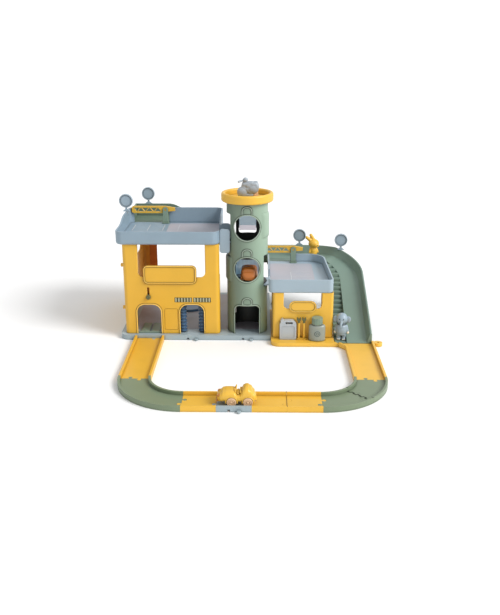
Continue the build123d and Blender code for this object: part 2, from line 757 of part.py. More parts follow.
# ---------------------------------------------------------------- winding ramp
turn_middle = (lane_width / 2 + stair_inner)
arc_run = turn_middle * radians(90)


def ramp_level(run):
    """Height of the ramp's driving surface after this run from the start of the turn."""
    fall = max(run - ramp_level_run, 0)
    return lower_floor - ramp_slope * fall - ramp_dive * fall * fall


def ramp_station(run):
    """Upright section plane of the ramp: x outwards from the turn, y up, at the floor's height."""
    angle = min(max(run / turn_middle, 0), radians(90))
    outward = (sin(angle), cos(angle), 0)
    forward = (cos(angle), -sin(angle), 0)
    x = turn_x + min(run, 0)
    y = turn_y - max(run - arc_run, 0)
    return Plane(origin=(x, y, ramp_level(run)), x_dir=outward, z_dir=forward)


def lane_section():
    """Section of the driving lane: stringer, floor and leaning outer wall."""
    with BuildLine() as outline:
        Polyline(
            (lane_inner, 0),
            (turn_outer - 13, 0),
            (turn_outer - 5.5, ramp_rim - 1.5),
            (turn_outer - 4, ramp_rim),
            (turn_outer - 1.5, ramp_rim),
            (turn_outer, ramp_rim - 1.5),
            (turn_outer, -12),
            (turn_outer - skin, -12),
            (turn_outer - skin - 2, -chute_floor),
            (lane_inner + skin, -chute_floor),
            (lane_inner + skin, -20),
            (lane_inner, -20),
            close=True,
        )
    make_face(outline.edges())


straight_run = turn_y - ramp_end
arc_steps, straight_steps = 16, 8
runs = [chute_split - turn_x]
runs += [arc_run * i / arc_steps for i in range(arc_steps + 1)]
runs += [arc_run + straight_run * (i + 1) / straight_steps for i in range(straight_steps)]

stair_middle = (stair_inner + lane_inner) / 2
stair_arc = stair_middle * radians(90 - stair_start)
stair_total = stair_arc + turn_y - stair_foot
stair_fall = (lower_floor - stair_foot_height) / stair_total
arc_stairs = round(stair_arc / stair_run)
straight_stairs = round((turn_y - stair_foot) / stair_run)
stair_thick = 14.0

with BuildPart() as curved_ramp:
    for run in runs:
        with BuildSketch(ramp_station(run)):
            lane_section()
    loft(ruled=True)
    # level landing on the inner side, up to the head of the stairs
    with BuildSketch(level(lower_floor - chute_floor)):
        block(chute_split, turn_y + stair_inner, turn_x, turn_y + lane_inner + 1)
        ring_sector(turn_x, turn_y, stair_inner, lane_inner + 1, 90 - stair_start, stair_start)
    extrude(amount=chute_floor)
    # stairs: wedge steps round the turn, then straight steps
    for i in range(arc_stairs):
        tread = lower_floor - stair_fall * stair_arc * (i + 1) / arc_stairs
        step_angle = (90 - stair_start) / arc_stairs
        with BuildSketch(level(tread - stair_thick)):
            ring_sector(turn_x, turn_y, stair_inner, lane_inner + 1, (arc_stairs - i - 1) * step_angle, step_angle)
        extrude(amount=stair_thick)
    for i in range(straight_stairs):
        depth = (turn_y - stair_foot) / straight_stairs
        tread = lower_floor - stair_fall * (stair_arc + depth * (i + 1))
        with BuildSketch(level(tread - stair_thick)):
            block(turn_x + stair_inner, turn_y - depth * (i + 1), turn_x + lane_inner + 1, turn_y - depth * i)
        extrude(amount=stair_thick)
    with BuildSketch(level(stair_foot_height - stair_thick)):
        block(turn_x + stair_inner, ramp_end, turn_x + lane_inner + 1, stair_foot)
    extrude(amount=stair_thick)
    # flat underside where the foot reaches the table
    with BuildSketch(level(-60)):
        block(turn_x, ramp_end - 20, turn_x + turn_outer + 20, turn_y)
    extrude(amount=60, mode=Mode.SUBTRACT)
curved_ramp.part.label = "curved_ramp"
export_step(curved_ramp.part, "parts/curved_ramp.step")

# ---------------------------------------------------------------- columns under the chute
column_radius = 9.0
# x, y, run along the ramp (None under the upper chute), height of the foot
chute_columns_at = (
    (-5.0, 268.0, None, base_top),
    (92.0, 268.0, 0.0, 0.0),
    (298.0, 237.0, 104.5, 0.0),
    (324.0, 62.0, arc_run + turn_y - 62.0, 0.0),
)


def underside(x, run):
    """Height of the channel's underside and its slope along the way."""
    if run is None:
        return chute_level(x) - chute_floor, chute_drop
    steep = (ramp_level(run - 1) - ramp_level(run + 1)) / 2
    return ramp_level(run) - chute_floor, steep


with BuildPart() as chute_columns:
    for x, y, run, foot in chute_columns_at:
        top, steep = underside(x, run)
        turned = min(max((run or 0) / turn_middle, 0), radians(90))
        slope = Plane(
            origin=(x, y, top - 3 * fit_gap),
            x_dir=(sin(turned), cos(turned), 0),
            z_dir=(steep * cos(turned), -steep * sin(turned), 1),
        )
        with BuildSketch(level(foot)):
            with Locations((x, y)):
                Circle(column_radius)
                Circle(column_radius - skin, mode=Mode.SUBTRACT)
        extrude(amount=top + 20 - foot)
        with BuildSketch(level(foot)):
            with Locations((x, y)):
                Circle(column_radius + 8)
                Circle(column_radius - skin, mode=Mode.SUBTRACT)
        extrude(amount=4)
        with Locations(slope.location):
            Box(60, 60, 60, align=(Align.CENTER, Align.CENTER, Align.MIN), mode=Mode.SUBTRACT)
chute_columns.part.label = "chute_columns"
export_step(chute_columns.part, "parts/chute_columns.step")

# ---------------------------------------------------------------- round signs on the rims
disc_radius, disc_thick = 21.0, 4.0
stalk_height = 12.0


def round_sign(x, y, rim_z, facing):
    """Disc on a short stalk that stands on a rim; facing turns it about Z."""
    frame = Plane(Location((x, y, rim_z), (0, 0, facing)))
    front = Plane(origin=frame.origin, x_dir=frame.x_dir, z_dir=-frame.y_dir)
    with BuildSketch(front.offset(-disc_thick / 2)) as shape:
        with Locations((0, stalk_height + disc_radius)):
            Circle(disc_radius)
        block(-3, 2, 3, stalk_height + 4)
        with BuildLine() as outline:
            Polyline((-12, 0), (12, 0), (5, 6), (-5, 6), close=True)
        make_face(outline.edges())
    extrude(shape.sketch, amount=disc_thick)
    with BuildSketch(front.offset(disc_thick / 2)) as shape:
        with Locations((0, stalk_height + disc_radius)):
            Circle(disc_radius)
            Circle(disc_radius - 2.5, mode=Mode.SUBTRACT)
    extrude(shape.sketch, amount=1.2)


sign_rim_y = chute_y1 - chute_wall / 2
ramp_sign_run = 85.0
ramp_sign_plane = ramp_station(ramp_sign_run)
ramp_sign_at = ramp_sign_plane.origin + ramp_sign_plane.x_dir * (turn_outer - 2.7)
signs = {
    "round_sign_1": (upper_x0 + deck_wall / 2, 150.0, upper_rim_back, 0),
    "round_sign_2": (-329.0, sign_rim_y, upper_floor + chute_rim_high, 0),
    "round_sign_3": (168.0, chute_y1 - 2.7, lower_floor + ramp_rim, 0),
    "round_sign_4": (ramp_sign_at.X, ramp_sign_at.Y, ramp_sign_at.Z + ramp_rim, 0),
}
for name, (x, y, rim_z, facing) in signs.items():
    with BuildPart() as round_sign_part:
        round_sign(x, y, rim_z, facing)
        if name == "round_sign_4":
            add(curved_ramp.part, mode=Mode.SUBTRACT)
    round_sign_part.part.label = name
    export_step(round_sign_part.part, f"parts/{name}.step")

# ---------------------------------------------------------------- barriers
post_width, post_depth = 16.0, 15.0
post_y1 = deck_back - deck_wall - fit_gap
post_y = post_y1 - post_depth / 2
pivot_over_floor = 43.0
arm_thick, arm_tall, arm_reach, arm_tail = 6.0, 22.0, 106.0, 30.0
arm_pin = 3.0
cheek_gap = arm_thick + 2 * fit_gap
arm_cells = 6


def barrier(x, floor_z, name):
    """Clevis post and lattice arm of one barrier, closed, pivoting at x."""
    pivot_z = floor_z + pivot_over_floor
    with BuildPart() as barrier_post:
        with BuildSketch(front_plane(post_y1)):
            round_block(x - post_width / 2, floor_z - 20, x + post_width / 2, pivot_z + 8, 7.5)
            block(x - post_width, floor_z - 30, x + post_width, floor_z, Mode.SUBTRACT)
        extrude(amount=post_depth)
        with BuildSketch(level(floor_z)):
            round_block(x - post_width / 2 - 3, post_y1 - post_depth - 4, x + post_width / 2 + 3, post_y1, 3)
        extrude(amount=3)
        with BuildSketch(front_plane(post_y + cheek_gap / 2)):
            block(x - post_width, pivot_z - arm_tail - 3, x + post_width, pivot_z + 20)
        extrude(amount=cheek_gap, mode=Mode.SUBTRACT)
        with BuildSketch(front_plane(post_y1 + 1)):
            with Locations((x, pivot_z)):
                Circle(arm_pin + pin_gap)
        extrude(amount=post_depth + 2, mode=Mode.SUBTRACT)
    barrier_post.part.label = f"barrier_post_{name}"
    export_step(barrier_post.part, f"parts/barrier_post_{name}.step")

    with BuildPart() as barrier_arm:
        with BuildSketch(front_plane(post_y + arm_thick / 2)):
            round_block(x - arm_reach, pivot_z - arm_tall / 2, x + 7, pivot_z + arm_tall / 2, 7)
            with BuildLine():
                Polyline(
                    (x, pivot_z - arm_tall / 2 + 4),
                    (x + arm_tail, pivot_z - 4),
                    (x + arm_tail, pivot_z + 6),
                    (x, pivot_z + arm_tall / 2),
                    close=True,
                )
            make_face()
            # triangular cut-outs of the lattice, pointing up and down by turns
            cell = (arm_reach - 26) / arm_cells
            for i in range(arm_cells):
                middle = x - arm_reach + 9 + cell * (i + 0.5)
                flip = 1 if i % 2 else -1
                with BuildLine():
                    Polyline(
                        (middle - cell * 0.78, pivot_z - flip * 6),
                        (middle + cell * 0.78, pivot_z - flip * 6),
                        (middle, pivot_z + flip * 6.5),
                        close=True,
                    )
                make_face(mode=Mode.SUBTRACT)
        extrude(amount=arm_thick)
        with BuildSketch(front_plane(post_y1 - 1)):
            with Locations((x, pivot_z)):
                Circle(arm_pin)
        extrude(amount=post_depth - 2)
    barrier_arm.part.label = f"barrier_arm_{name}"
    export_step(barrier_arm.part, f"parts/barrier_arm_{name}.step")


barrier(-260.0, upper_floor, "upper")
barrier(143.0, lower_floor, "lower")

# ---------------------------------------------------------------- track
half_track = track_width / 2
half_gap = fit_gap / 2


def straight_track(x, y, length, angle, ends=(True, True)):
    """Straight channel from (x, y) along angle, with jigsaw ends."""
    along = Location((x, y, 0), (0, 0, angle))
    with BuildSketch(level(track_under)) as shape:
        with Locations(along):
            with Locations((length / 2, 0)):
                Rectangle(length - fit_gap, track_width)
    extrude(shape.sketch, amount=track_floor - track_under)
    with BuildSketch() as shape:
        with Locations(along):
            with Locations(
                (length / 2, half_track - track_wall / 2),
                (length / 2, -half_track + track_wall / 2),
            ):
                Rectangle(length - fit_gap, track_wall)
    extrude(shape.sketch, amount=track_height)
    near = (x + half_gap * cos(radians(angle)), y + half_gap * sin(radians(angle)), angle + 180)
    reach = length - half_gap
    far = (x + reach * cos(radians(angle)), y + reach * sin(radians(angle)), angle)
    return [end for end, wanted in zip((near, far), ends) if wanted]


def bent_track(x, y, start, sweep):
    """Bent channel about (x, y), with jigsaw ends; angles in degrees."""
    slack = degrees(half_gap / track_bend)
    inner, outer = track_bend - half_track, track_bend + half_track
    with BuildSketch(level(track_under)) as shape:
        ring_sector(x, y, inner, outer, start + slack, sweep - 2 * slack)
    extrude(shape.sketch, amount=track_floor - track_under)
    with BuildSketch() as shape:
        ring_sector(x, y, inner, inner + track_wall, start + slack, sweep - 2 * slack)
        ring_sector(x, y, outer - track_wall, outer, start + slack, sweep - 2 * slack)
    extrude(shape.sketch, amount=track_height)
    ends = []
    for angle, outward in ((start + slack, -90), (start + sweep - slack, 90)):
        turn = radians(angle)
        ends.append((x + track_bend * cos(turn), y + track_bend * sin(turn), angle + outward))
    return ends


straight_pieces = {
    "track_left_straight": (left_lane_x, bend_y, base_front - bend_y, 90),
    "track_front_1": (front_x0, front_lane_y, front_piece, 0),
    "track_front_crossing": (front_x0 + front_piece, front_lane_y, front_piece, 0),
    "track_front_3": (front_x0 + 2 * front_piece, front_lane_y, front_piece, 0),
    "track_front_4": (front_x0 + 3 * front_piece, front_lane_y, front_piece, 0),
}
for name, (x, y, length, angle) in straight_pieces.items():
    with BuildPart() as track_piece:
        piece_ends = straight_track(x, y, length, angle)
        if name == "track_front_crossing":
            piece_ends.append((x + length / 2, y - half_track, -90))
        add_locks(piece_ends)
    track_piece.part.label = name
    export_step(track_piece.part, f"parts/{name}.step")

bent_pieces = {
    "track_left_bend": (front_x0, bend_y, 180, 90),
    "track_right_bend_1": (front_x0 + 4 * front_piece, bend_y, 270, 45),
    "track_right_bend_2": (front_x0 + 4 * front_piece, bend_y, 315, 45),
}
for name, (x, y, start, sweep) in bent_pieces.items():
    with BuildPart() as track_piece:
        add_locks(bent_track(x, y, start, sweep))
    track_piece.part.label = name
    export_step(track_piece.part, f"parts/{name}.step")

tab_x, tab_radius = lane_right_x + 13, 12.5
with BuildPart() as track_funnel:
    lane_ends = straight_track(right_lane_x, bend_y, funnel_neck_y - bend_y, 90, (True, False))
    with BuildSketch(level(track_under)):
        with BuildLine():
            Polyline(
                (lane_left_x, funnel_neck_y - 1),
                (flare_x(funnel_neck_y) + 2 * fit_gap, funnel_neck_y),
                (flare_x(ramp_end - fit_gap) + 2 * fit_gap, ramp_end - fit_gap),
                (lane_right_x, ramp_end - fit_gap),
                (lane_right_x, funnel_neck_y - 1),
                close=True,
            )
        make_face()
    extrude(amount=track_floor - track_under)
    with BuildSketch():
        block(lane_right_x - track_wall, funnel_neck_y - 1, lane_right_x, ramp_end - fit_gap)
        with BuildLine():
            Polyline(
                (lane_left_x, funnel_neck_y - 1),
                (flare_x(right_base_front - 1), right_base_front - 1),
                (flare_x(right_base_front - 1) + track_wall, right_base_front - 1),
                (lane_left_x + track_wall, funnel_neck_y - 1),
                close=True,
            )
        make_face()
    extrude(amount=track_height)
    with BuildSketch():
        with Locations((tab_x, ramp_end)):
            Circle(tab_radius)
            Circle(4, mode=Mode.SUBTRACT)
        block(lane_right_x - 1, ramp_end - 8, tab_x - tab_radius + 2, ramp_end + 4 - 10)
    extrude(amount=track_height - 5)
    add_locks(lane_ends)
track_funnel.part.label = "track_funnel"
export_step(track_funnel.part, "parts/track_funnel.step")

# ---------------------------------------------------------------- service lift and car wash
service_back = left_front + left_plate + run_gap
pad_width, pad_length = 24.0, 76.0
portal_half = arch_width / 2 + 3
with BuildPart() as service_lift:
    with BuildSketch(front_plane(service_back)):
        block(arch_1_x - portal_half - 6, base_top + fit_gap, arch_1_x + portal_half + 6, knob_low + 5)
        block(arch_1_x - portal_half, base_top + 4, arch_1_x + portal_half, arch_head + 6, Mode.SUBTRACT)
    extrude(amount=-3)
    with BuildSketch(level(base_top + fit_gap)):
        for side in (-1, 1):
            middle = arch_1_x + side * (pad_width / 2 + 3)
            round_block(middle - pad_width / 2, service_back + 1, middle + pad_width / 2, service_back + pad_length, 4)
    extrude(amount=3.7)
    with BuildSketch(front_plane(service_back + 1)):
        with Locations((arch_1_x, knob_low)):
            Circle(slot_width / 2 - run_gap)
    extrude(amount=left_plate + 4)
service_lift.part.label = "service_lift"
export_step(service_lift.part, "parts/service_lift.step")

knob_back = left_front - 1.0
with BuildPart() as service_knob:
    with BuildSketch(front_plane(knob_back)):
        with Locations((arch_1_x, knob_low)):
            Circle(6.5)
    extrude(amount=6)
    fillet(edges().group_by(Axis.Y)[0], radius=2)
    with BuildSketch(front_plane(knob_back)):
        with Locations((arch_1_x, knob_low)):
            Circle(slot_width / 2 - run_gap + 0.02)
    extrude(amount=3.4, mode=Mode.SUBTRACT)
service_knob.part.label = "service_knob"
export_step(service_knob.part, "parts/service_knob.step")

gantry_z0, gantry_z1 = arch_head + 2, arch_head + 6
roller_bottom, roller_top = base_top + run_gap, gantry_z0 - run_gap
roller_ribs = 9
roller_core = roller_radius - 3
with BuildPart() as wash_gantry:
    with BuildSketch(level(gantry_z0)):
        reach = roller_offset + 12
        round_block(arch_2_x - reach, left_front - 20, arch_2_x + reach, roller_y + 12, 8)
        block(arch_2_x - reach, left_front - 20, arch_2_x + reach, left_front + left_plate, Mode.SUBTRACT)
        with Locations((arch_2_x - roller_offset, roller_y), (arch_2_x + roller_offset, roller_y)):
            Circle(spindle_radius + pin_gap, mode=Mode.SUBTRACT)
    extrude(amount=gantry_z1 - gantry_z0)
wash_gantry.part.label = "wash_gantry"
export_step(wash_gantry.part, "parts/wash_gantry.step")

for name, side in (("wash_roller_left", -1), ("wash_roller_right", 1)):
    roller_x = arch_2_x + side * roller_offset
    with BuildPart() as wash_roller:
        with BuildSketch(Plane.XZ.offset(-roller_y)):
            block(roller_x, base_top - spindle_depth + 1, roller_x + spindle_radius, gantry_z1)
            block(roller_x, roller_bottom, roller_x + roller_core, roller_top)
            pitch = (roller_top - roller_bottom) / roller_ribs
            with Locations((roller_x + roller_core + 1, (roller_top + roller_bottom) / 2)):
                with GridLocations(1, pitch, 1, roller_ribs):
                    Trapezoid(pitch * 0.8, 4, 60, rotation=-90)
        revolve(axis=Axis((roller_x, roller_y, 0), (0, 0, 1)))
    wash_roller.part.label = name
    export_step(wash_roller.part, f"parts/{name}.step")

with BuildPart() as turntable:
    with BuildSketch(Plane.XZ.offset(-turntable_y)):
        block(turntable_x, base_top + run_gap, turntable_x + turntable_radius, base_top + 5)
        block(turntable_x + turntable_radius - 4, base_top + run_gap, turntable_x + turntable_radius, base_top + 8)
        block(turntable_x, base_top - spindle_depth + 1, turntable_x + spindle_radius, base_top + 2)
    revolve(axis=Axis((turntable_x, turntable_y, 0), (0, 0, 1)))
turntable.part.label = "turntable"
export_step(turntable.part, "parts/turntable.step")

# ---------------------------------------------------------------- props by the right building
jerrycan_x, jerrycan_y = 119.0, -82.0
jerrycan_half_width, jerrycan_half_depth, jerrycan_tall = 24.0, 7.5, 59.0
with BuildPart() as jerrycan:
    can_top = right_base_top + jerrycan_tall
    can_left, can_right = jerrycan_x - jerrycan_half_width, jerrycan_x + jerrycan_half_width
    with BuildSketch(front_plane(jerrycan_y + jerrycan_half_depth)):
        round_block(can_left, right_base_top, can_right, can_top - 12, 4)
        round_block(can_left, right_base_top + 20, can_right, can_top, 15)
        with Locations((jerrycan_x + 3, can_top - 8.5)):
            SlotOverall(22, 6, mode=Mode.SUBTRACT)
        with Locations((can_left + 8, can_top - 3)):
            Rectangle(8, 11, rotation=35)
    extrude(amount=2 * jerrycan_half_depth)
    with BuildSketch(front_plane(jerrycan_y - jerrycan_half_depth)):
        round_block(can_left + 5, right_base_top + 6, can_right - 5, can_top - 18, 4)
    extrude(amount=-1.2, mode=Mode.SUBTRACT)
jerrycan.part.label = "jerrycan"
export_step(jerrycan.part, "parts/jerrycan.step")

tools_x, tools_y = 158.0, -84.0
with BuildPart() as tool_rack:
    with BuildSketch(level(right_base_top)):
        round_block(tools_x - 14.5, tools_y - 7, tools_x + 14.5, tools_y + 7, 4)
    extrude(amount=3)
    for x in (tools_x - 7.5, tools_x + 7.5):
        with BuildSketch(level(right_base_top + 2)):
            with Locations((x, tools_y)):
                Circle(3.2)
        extrude(amount=57)
        with BuildSketch(front_plane(tools_y + 3)):
            with Locations((x, right_base_top + 62)):
                Circle(6.5)
            with Locations((x, right_base_top + 67)):
                Rectangle(5, 8, mode=Mode.SUBTRACT)
        extrude(amount=6)
tool_rack.part.label = "tool_rack"
export_step(tool_rack.part, "parts/tool_rack.step")

oil_x, oil_y = 203.0, -89.0
oil_half_width, oil_half_depth = 24.0, 15.0
oil_shoulder = right_base_top + 48
cap_z = right_base_top + 54
with BuildPart() as oil_can:
    with BuildSketch(level(right_base_top)):
        with Locations((oil_x, oil_y)):
            Ellipse(oil_half_width, oil_half_depth)
    extrude(amount=oil_shoulder - right_base_top)
    fillet(edges().group_by(Axis.Z)[-1], radius=7)
    fillet(edges().group_by(Axis.Z)[0], radius=2)
    with BuildSketch(level(oil_shoulder - 7)):
        with Locations((oil_x, oil_y)):
            Circle(12)
    extrude(amount=cap_z - oil_shoulder + 7)
oil_can.part.label = "oil_can"
export_step(oil_can.part, "parts/oil_can.step")

cap_ribs = 16
with BuildPart() as oil_can_cap:
    with BuildSketch(level(right_base_top + 50)):
        with Locations((oil_x, oil_y)):
            Circle(14.5)
            with PolarLocations(14.5, cap_ribs):
                Circle(1.2)
    extrude(amount=19)
    with BuildSketch(level(right_base_top + 50)):
        with Locations((oil_x, oil_y)):
            Circle(12 + fit_gap)
    extrude(amount=4 + fit_gap, mode=Mode.SUBTRACT)
oil_can_cap.part.label = "oil_can_cap"
export_step(oil_can_cap.part, "parts/oil_can_cap.step")


# ---------------------------------------------------------------- animal figures
def limb(x, y, z0, z1, radius):
    """Upright round limb with a rounded lower end."""
    with BuildSketch(level(z0)) as shape:
        with Locations((x, y)):
            Circle(radius)
    extrude(shape.sketch, amount=z1 - z0)


elephant_x, elephant_y, elephant_z = 272.5, -76.0, stair_foot_height
with BuildPart() as elephant_figure:
    for side in (-1, 1):
        limb(elephant_x + side * 9, elephant_y, elephant_z, elephant_z + 16, 6.5)
        with Locations((elephant_x + side * 15.5, elephant_y - 1, elephant_z + 31)):
            Cylinder(4.6, 22)
            with Locations((0, 0, -11)):
                Sphere(4.6)
    with BuildSketch(Plane.XZ.offset(-elephant_y)):
        with BuildLine():
            Polyline((elephant_x, elephant_z + 46), (elephant_x, elephant_z + 11), (elephant_x + 12, elephant_z + 11))
            Bezier(
                (elephant_x + 12, elephant_z + 11),
                (elephant_x + 19, elephant_z + 20),
                (elephant_x + 15, elephant_z + 38),
                (elephant_x + 9, elephant_z + 46),
            )
            Line((elephant_x + 9, elephant_z + 46), (elephant_x, elephant_z + 46))
        make_face()
    revolve(axis=Axis((elephant_x, elephant_y, 0), (0, 0, 1)))
    with Locations((elephant_x, elephant_y, elephant_z + 62)):
        Sphere(18)
        for side in (-1, 1):
            with Locations(Location((side * 17, 2, 1), (90, 0, side * -20))):
                Cylinder(10.5, 3.5)
        with Locations(Location((0, -17, -9), (-20, 0, 0))):
            Cylinder(4.2, 20)
elephant_figure.part.label = "elephant_figure"
export_step(elephant_figure.part, "parts/elephant_figure.step")

rabbit_x, rabbit_y, rabbit_z = 211.0, 268.0, lower_floor
with BuildPart() as rabbit_figure:
    for side in (-1, 1):
        limb(rabbit_x + side * 6, rabbit_y, rabbit_z, rabbit_z + 10, 5)
    with BuildSketch(Plane.XZ.offset(-rabbit_y)):
        with BuildLine():
            Polyline((rabbit_x, rabbit_z + 34), (rabbit_x, rabbit_z + 6), (rabbit_x + 9, rabbit_z + 6))
            Bezier(
                (rabbit_x + 9, rabbit_z + 6),
                (rabbit_x + 15, rabbit_z + 14),
                (rabbit_x + 13, rabbit_z + 28),
                (rabbit_x + 8, rabbit_z + 34),
            )
            Line((rabbit_x + 8, rabbit_z + 34), (rabbit_x, rabbit_z + 34))
        make_face()
    revolve(axis=Axis((rabbit_x, rabbit_y, 0), (0, 0, 1)))
    with Locations((rabbit_x, rabbit_y, rabbit_z + 45)):
        Sphere(17)
        for lean, x in ((-50, -16), (-12, -6)):
            with Locations(Location((x, 0, 16 if lean > -20 else 10), (0, lean, 0))):
                Cylinder(4.6, 24)
                with Locations((0, 0, 12)):
                    Sphere(4.6)
rabbit_figure.part.label = "rabbit_figure"
export_step(rabbit_figure.part, "parts/rabbit_figure.step")


# ---------------------------------------------------------------- toy cars
# Drawn with the nose to -X, standing on z = 0 with their middle at the origin.
car_floor = 8.0
bore_height = wheel_radius
with BuildPart() as car_shape:
    with BuildSketch(front_plane(car_width)):
        with BuildLine():
            Polyline((-46, car_floor), (46, car_floor), (47.5, 14))
            Bezier((47.5, 14), (48, 30), (40, 47.5), (25, 47.5))
            Bezier((25, 47.5), (17, 47.5), (13, 38), (9, 31))
            Polyline((9, 31), (2, 31), (0, 43), (-3, 43), (-3, 37))
            Bezier((-3, 37), (-14, 39.5), (-30, 40), (-38, 31))
            Bezier((-38, 31), (-43, 27), (-47.5, 24), (-47.5, 14))
            Line((-47.5, 14), (-46, car_floor))
        make_face()
    extrude(amount=2 * car_width)
    with BuildSketch(level(0)):
        with BuildLine():
            Polyline((-30, -23), (30, -23))
            Bezier((30, -23), (44, -23), (48, -16), (48, 0))
            Bezier((48, 0), (48, 16), (44, 23), (30, 23))
            Line((30, 23), (-30, 23))
            Bezier((-30, 23), (-44, 23), (-48, 16), (-48, 0))
            Bezier((-48, 0), (-48, -16), (-44, -23), (-30, -23))
        make_face()
    extrude(amount=80, mode=Mode.INTERSECT)
    for x in car_axles:
        for side in (-1, 1):
            with BuildSketch(front_plane(side * car_width)):
                with Locations((x, bore_height)):
                    Circle(wheel_radius + 1.5)
            extrude(amount=side * (car_width - 14.0), mode=Mode.SUBTRACT)
        with BuildSketch(front_plane(car_width)):
            with Locations((x, bore_height)):
                Circle(axle_radius + pin_gap)
        extrude(amount=2 * car_width, mode=Mode.SUBTRACT)

with BuildPart() as wheelset_shape:
    with BuildSketch(Plane.XY):
        block(0, -24, axle_radius, 24)
        for side in (-1, 1):
            y0, y1 = sorted((side * 15.5, side * (15.5 + wheel_width)))
            block(0, y0, wheel_radius, y1)
        fillet([v for v in vertices() if v.X > wheel_radius - 0.1], radius=1.5)
    revolve(axis=Axis.Y)

cars = {
    "car": Location((-18.0, front_lane_y - 4.0, track_floor + fit_gap)),
    "lift_car": Location((5.0, -1.0, lift_rest + fit_gap), (0, 0, -90)),
}
for name, place in cars.items():
    with BuildPart() as car_body:
        add(car_shape.part.moved(place))
    car_body.part.label = f"{name}_body"
    export_step(car_body.part, f"parts/{name}_body.step")
    for end, x in zip(("front", "rear"), car_axles):
        with BuildPart() as wheelset:
            add(wheelset_shape.part.moved(place * Location((x, 0, bore_height))))
        wheelset.part.label = f"{name}_{end}_wheels"
        export_step(wheelset.part, f"parts/{name}_{end}_wheels.step")

# ---------------------------------------------------------------- scooter in the crown
scooter_wheel, scooter_wheel_width = 9.5, 6.0
scooter_front_x, scooter_rear_x = -15.0, 22.0
scooter_axle = 1.6
scooter_z = crown_dish + fit_gap
scooter_hub = scooter_z + scooter_wheel
with BuildPart() as scooter_body:
    with BuildSketch(front_plane(8)):
        with BuildLine():
            Polyline((-26, scooter_z + 8), (-26, scooter_z + 14))
            Bezier((-26, scooter_z + 14), (-25, scooter_z + 22), (-18, scooter_z + 24), (-14, scooter_z + 28))
            Line((-14, scooter_z + 28), (-10, scooter_z + 46))
            Line((-10, scooter_z + 46), (-5, scooter_z + 46))
            Line((-5, scooter_z + 46), (-4, scooter_z + 14))
            Line((-4, scooter_z + 14), (5, scooter_z + 12))
            Line((5, scooter_z + 12), (10, scooter_z + 34))
            Bezier((10, scooter_z + 34), (20, scooter_z + 38), (34, scooter_z + 32), (33, scooter_z + 20))
            Line((33, scooter_z + 20), (32, scooter_z + 8))
            Line((32, scooter_z + 8), (-26, scooter_z + 8))
        make_face()
    extrude(amount=16)
    for x in (scooter_front_x, scooter_rear_x):
        with BuildSketch(front_plane(scooter_wheel_width / 2 + 0.6)):
            with Locations((x, scooter_hub)):
                Circle(scooter_wheel + 1)
        extrude(amount=scooter_wheel_width + 1.2, mode=Mode.SUBTRACT)
        with BuildSketch(front_plane(9)):
            with Locations((x, scooter_hub)):
                Circle(scooter_axle + pin_gap)
        extrude(amount=18, mode=Mode.SUBTRACT)
    with Locations(Location((-8, 0, scooter_z + 48), (90, 0, 0))):
        Cylinder(2.2, 32)
    with Locations((-11, 0, scooter_z + 53)):
        Sphere(6)
scooter_body.part.label = "scooter_body"
export_step(scooter_body.part, "parts/scooter_body.step")

for name, x in (("scooter_front_wheel", scooter_front_x), ("scooter_rear_wheel", scooter_rear_x)):
    with BuildPart() as scooter_wheel_part:
        with BuildSketch(front_plane(scooter_wheel_width / 2)):
            with Locations((x, scooter_hub)):
                Circle(scooter_wheel)
        extrude(amount=scooter_wheel_width)
        with BuildSketch(front_plane(7.5)):
            with Locations((x, scooter_hub)):
                Circle(scooter_axle)
        extrude(amount=15)
    scooter_wheel_part.part.label = name
    export_step(scooter_wheel_part.part, f"parts/{name}.step")
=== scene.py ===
import json
import math

import bpy
from mathutils import Matrix, Vector


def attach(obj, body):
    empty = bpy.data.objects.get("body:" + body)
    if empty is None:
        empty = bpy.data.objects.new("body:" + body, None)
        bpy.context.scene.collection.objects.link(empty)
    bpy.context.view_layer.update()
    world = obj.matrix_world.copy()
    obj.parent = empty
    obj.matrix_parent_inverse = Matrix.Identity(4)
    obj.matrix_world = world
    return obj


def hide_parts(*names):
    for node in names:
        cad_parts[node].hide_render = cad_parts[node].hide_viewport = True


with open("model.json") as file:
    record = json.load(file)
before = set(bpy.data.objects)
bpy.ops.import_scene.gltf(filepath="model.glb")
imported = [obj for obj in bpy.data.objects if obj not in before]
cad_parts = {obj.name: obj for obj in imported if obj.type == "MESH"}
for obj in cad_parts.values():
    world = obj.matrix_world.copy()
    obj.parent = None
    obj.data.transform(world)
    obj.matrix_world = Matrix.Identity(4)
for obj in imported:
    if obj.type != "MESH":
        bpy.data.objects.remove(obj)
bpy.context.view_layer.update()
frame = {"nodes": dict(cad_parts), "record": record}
nodes = frame["nodes"]
slot_of = {part["node"]: part["material_slot"] for part in frame["record"]["subparts"]}

MM = 0.001

# ---------------------------------------------------------------- levels shared with the CAD, in mm
BASE_TOP = 15.0
LOWER_FLOOR = 164.0
UPPER_FLOOR = 291.0
TURN = (191.0, 150.0)
TURN_OUTER, LANE_INNER, STAIR_INNER = 170.0, 98.0, 65.3
STAIR_OUTER = LANE_INNER + 0.5  # a little into the lane
TURN_MIDDLE = 117.8  # radius along which the ramp's fall is measured
RAMP_LEVEL_RUN, RAMP_SLOPE, RAMP_DIVE = 70.0, 0.36, 0.00018
RAMP_START, RAMP_END = 60.0, -102.0
RAMP_RIM = 28.0
STAIR_START, STAIR_FOOT, STAIR_FOOT_HEIGHT, STAIR_RUN = 40.0, -72.0, 8.0, 17.0
STEP_DEPTH = 14.0

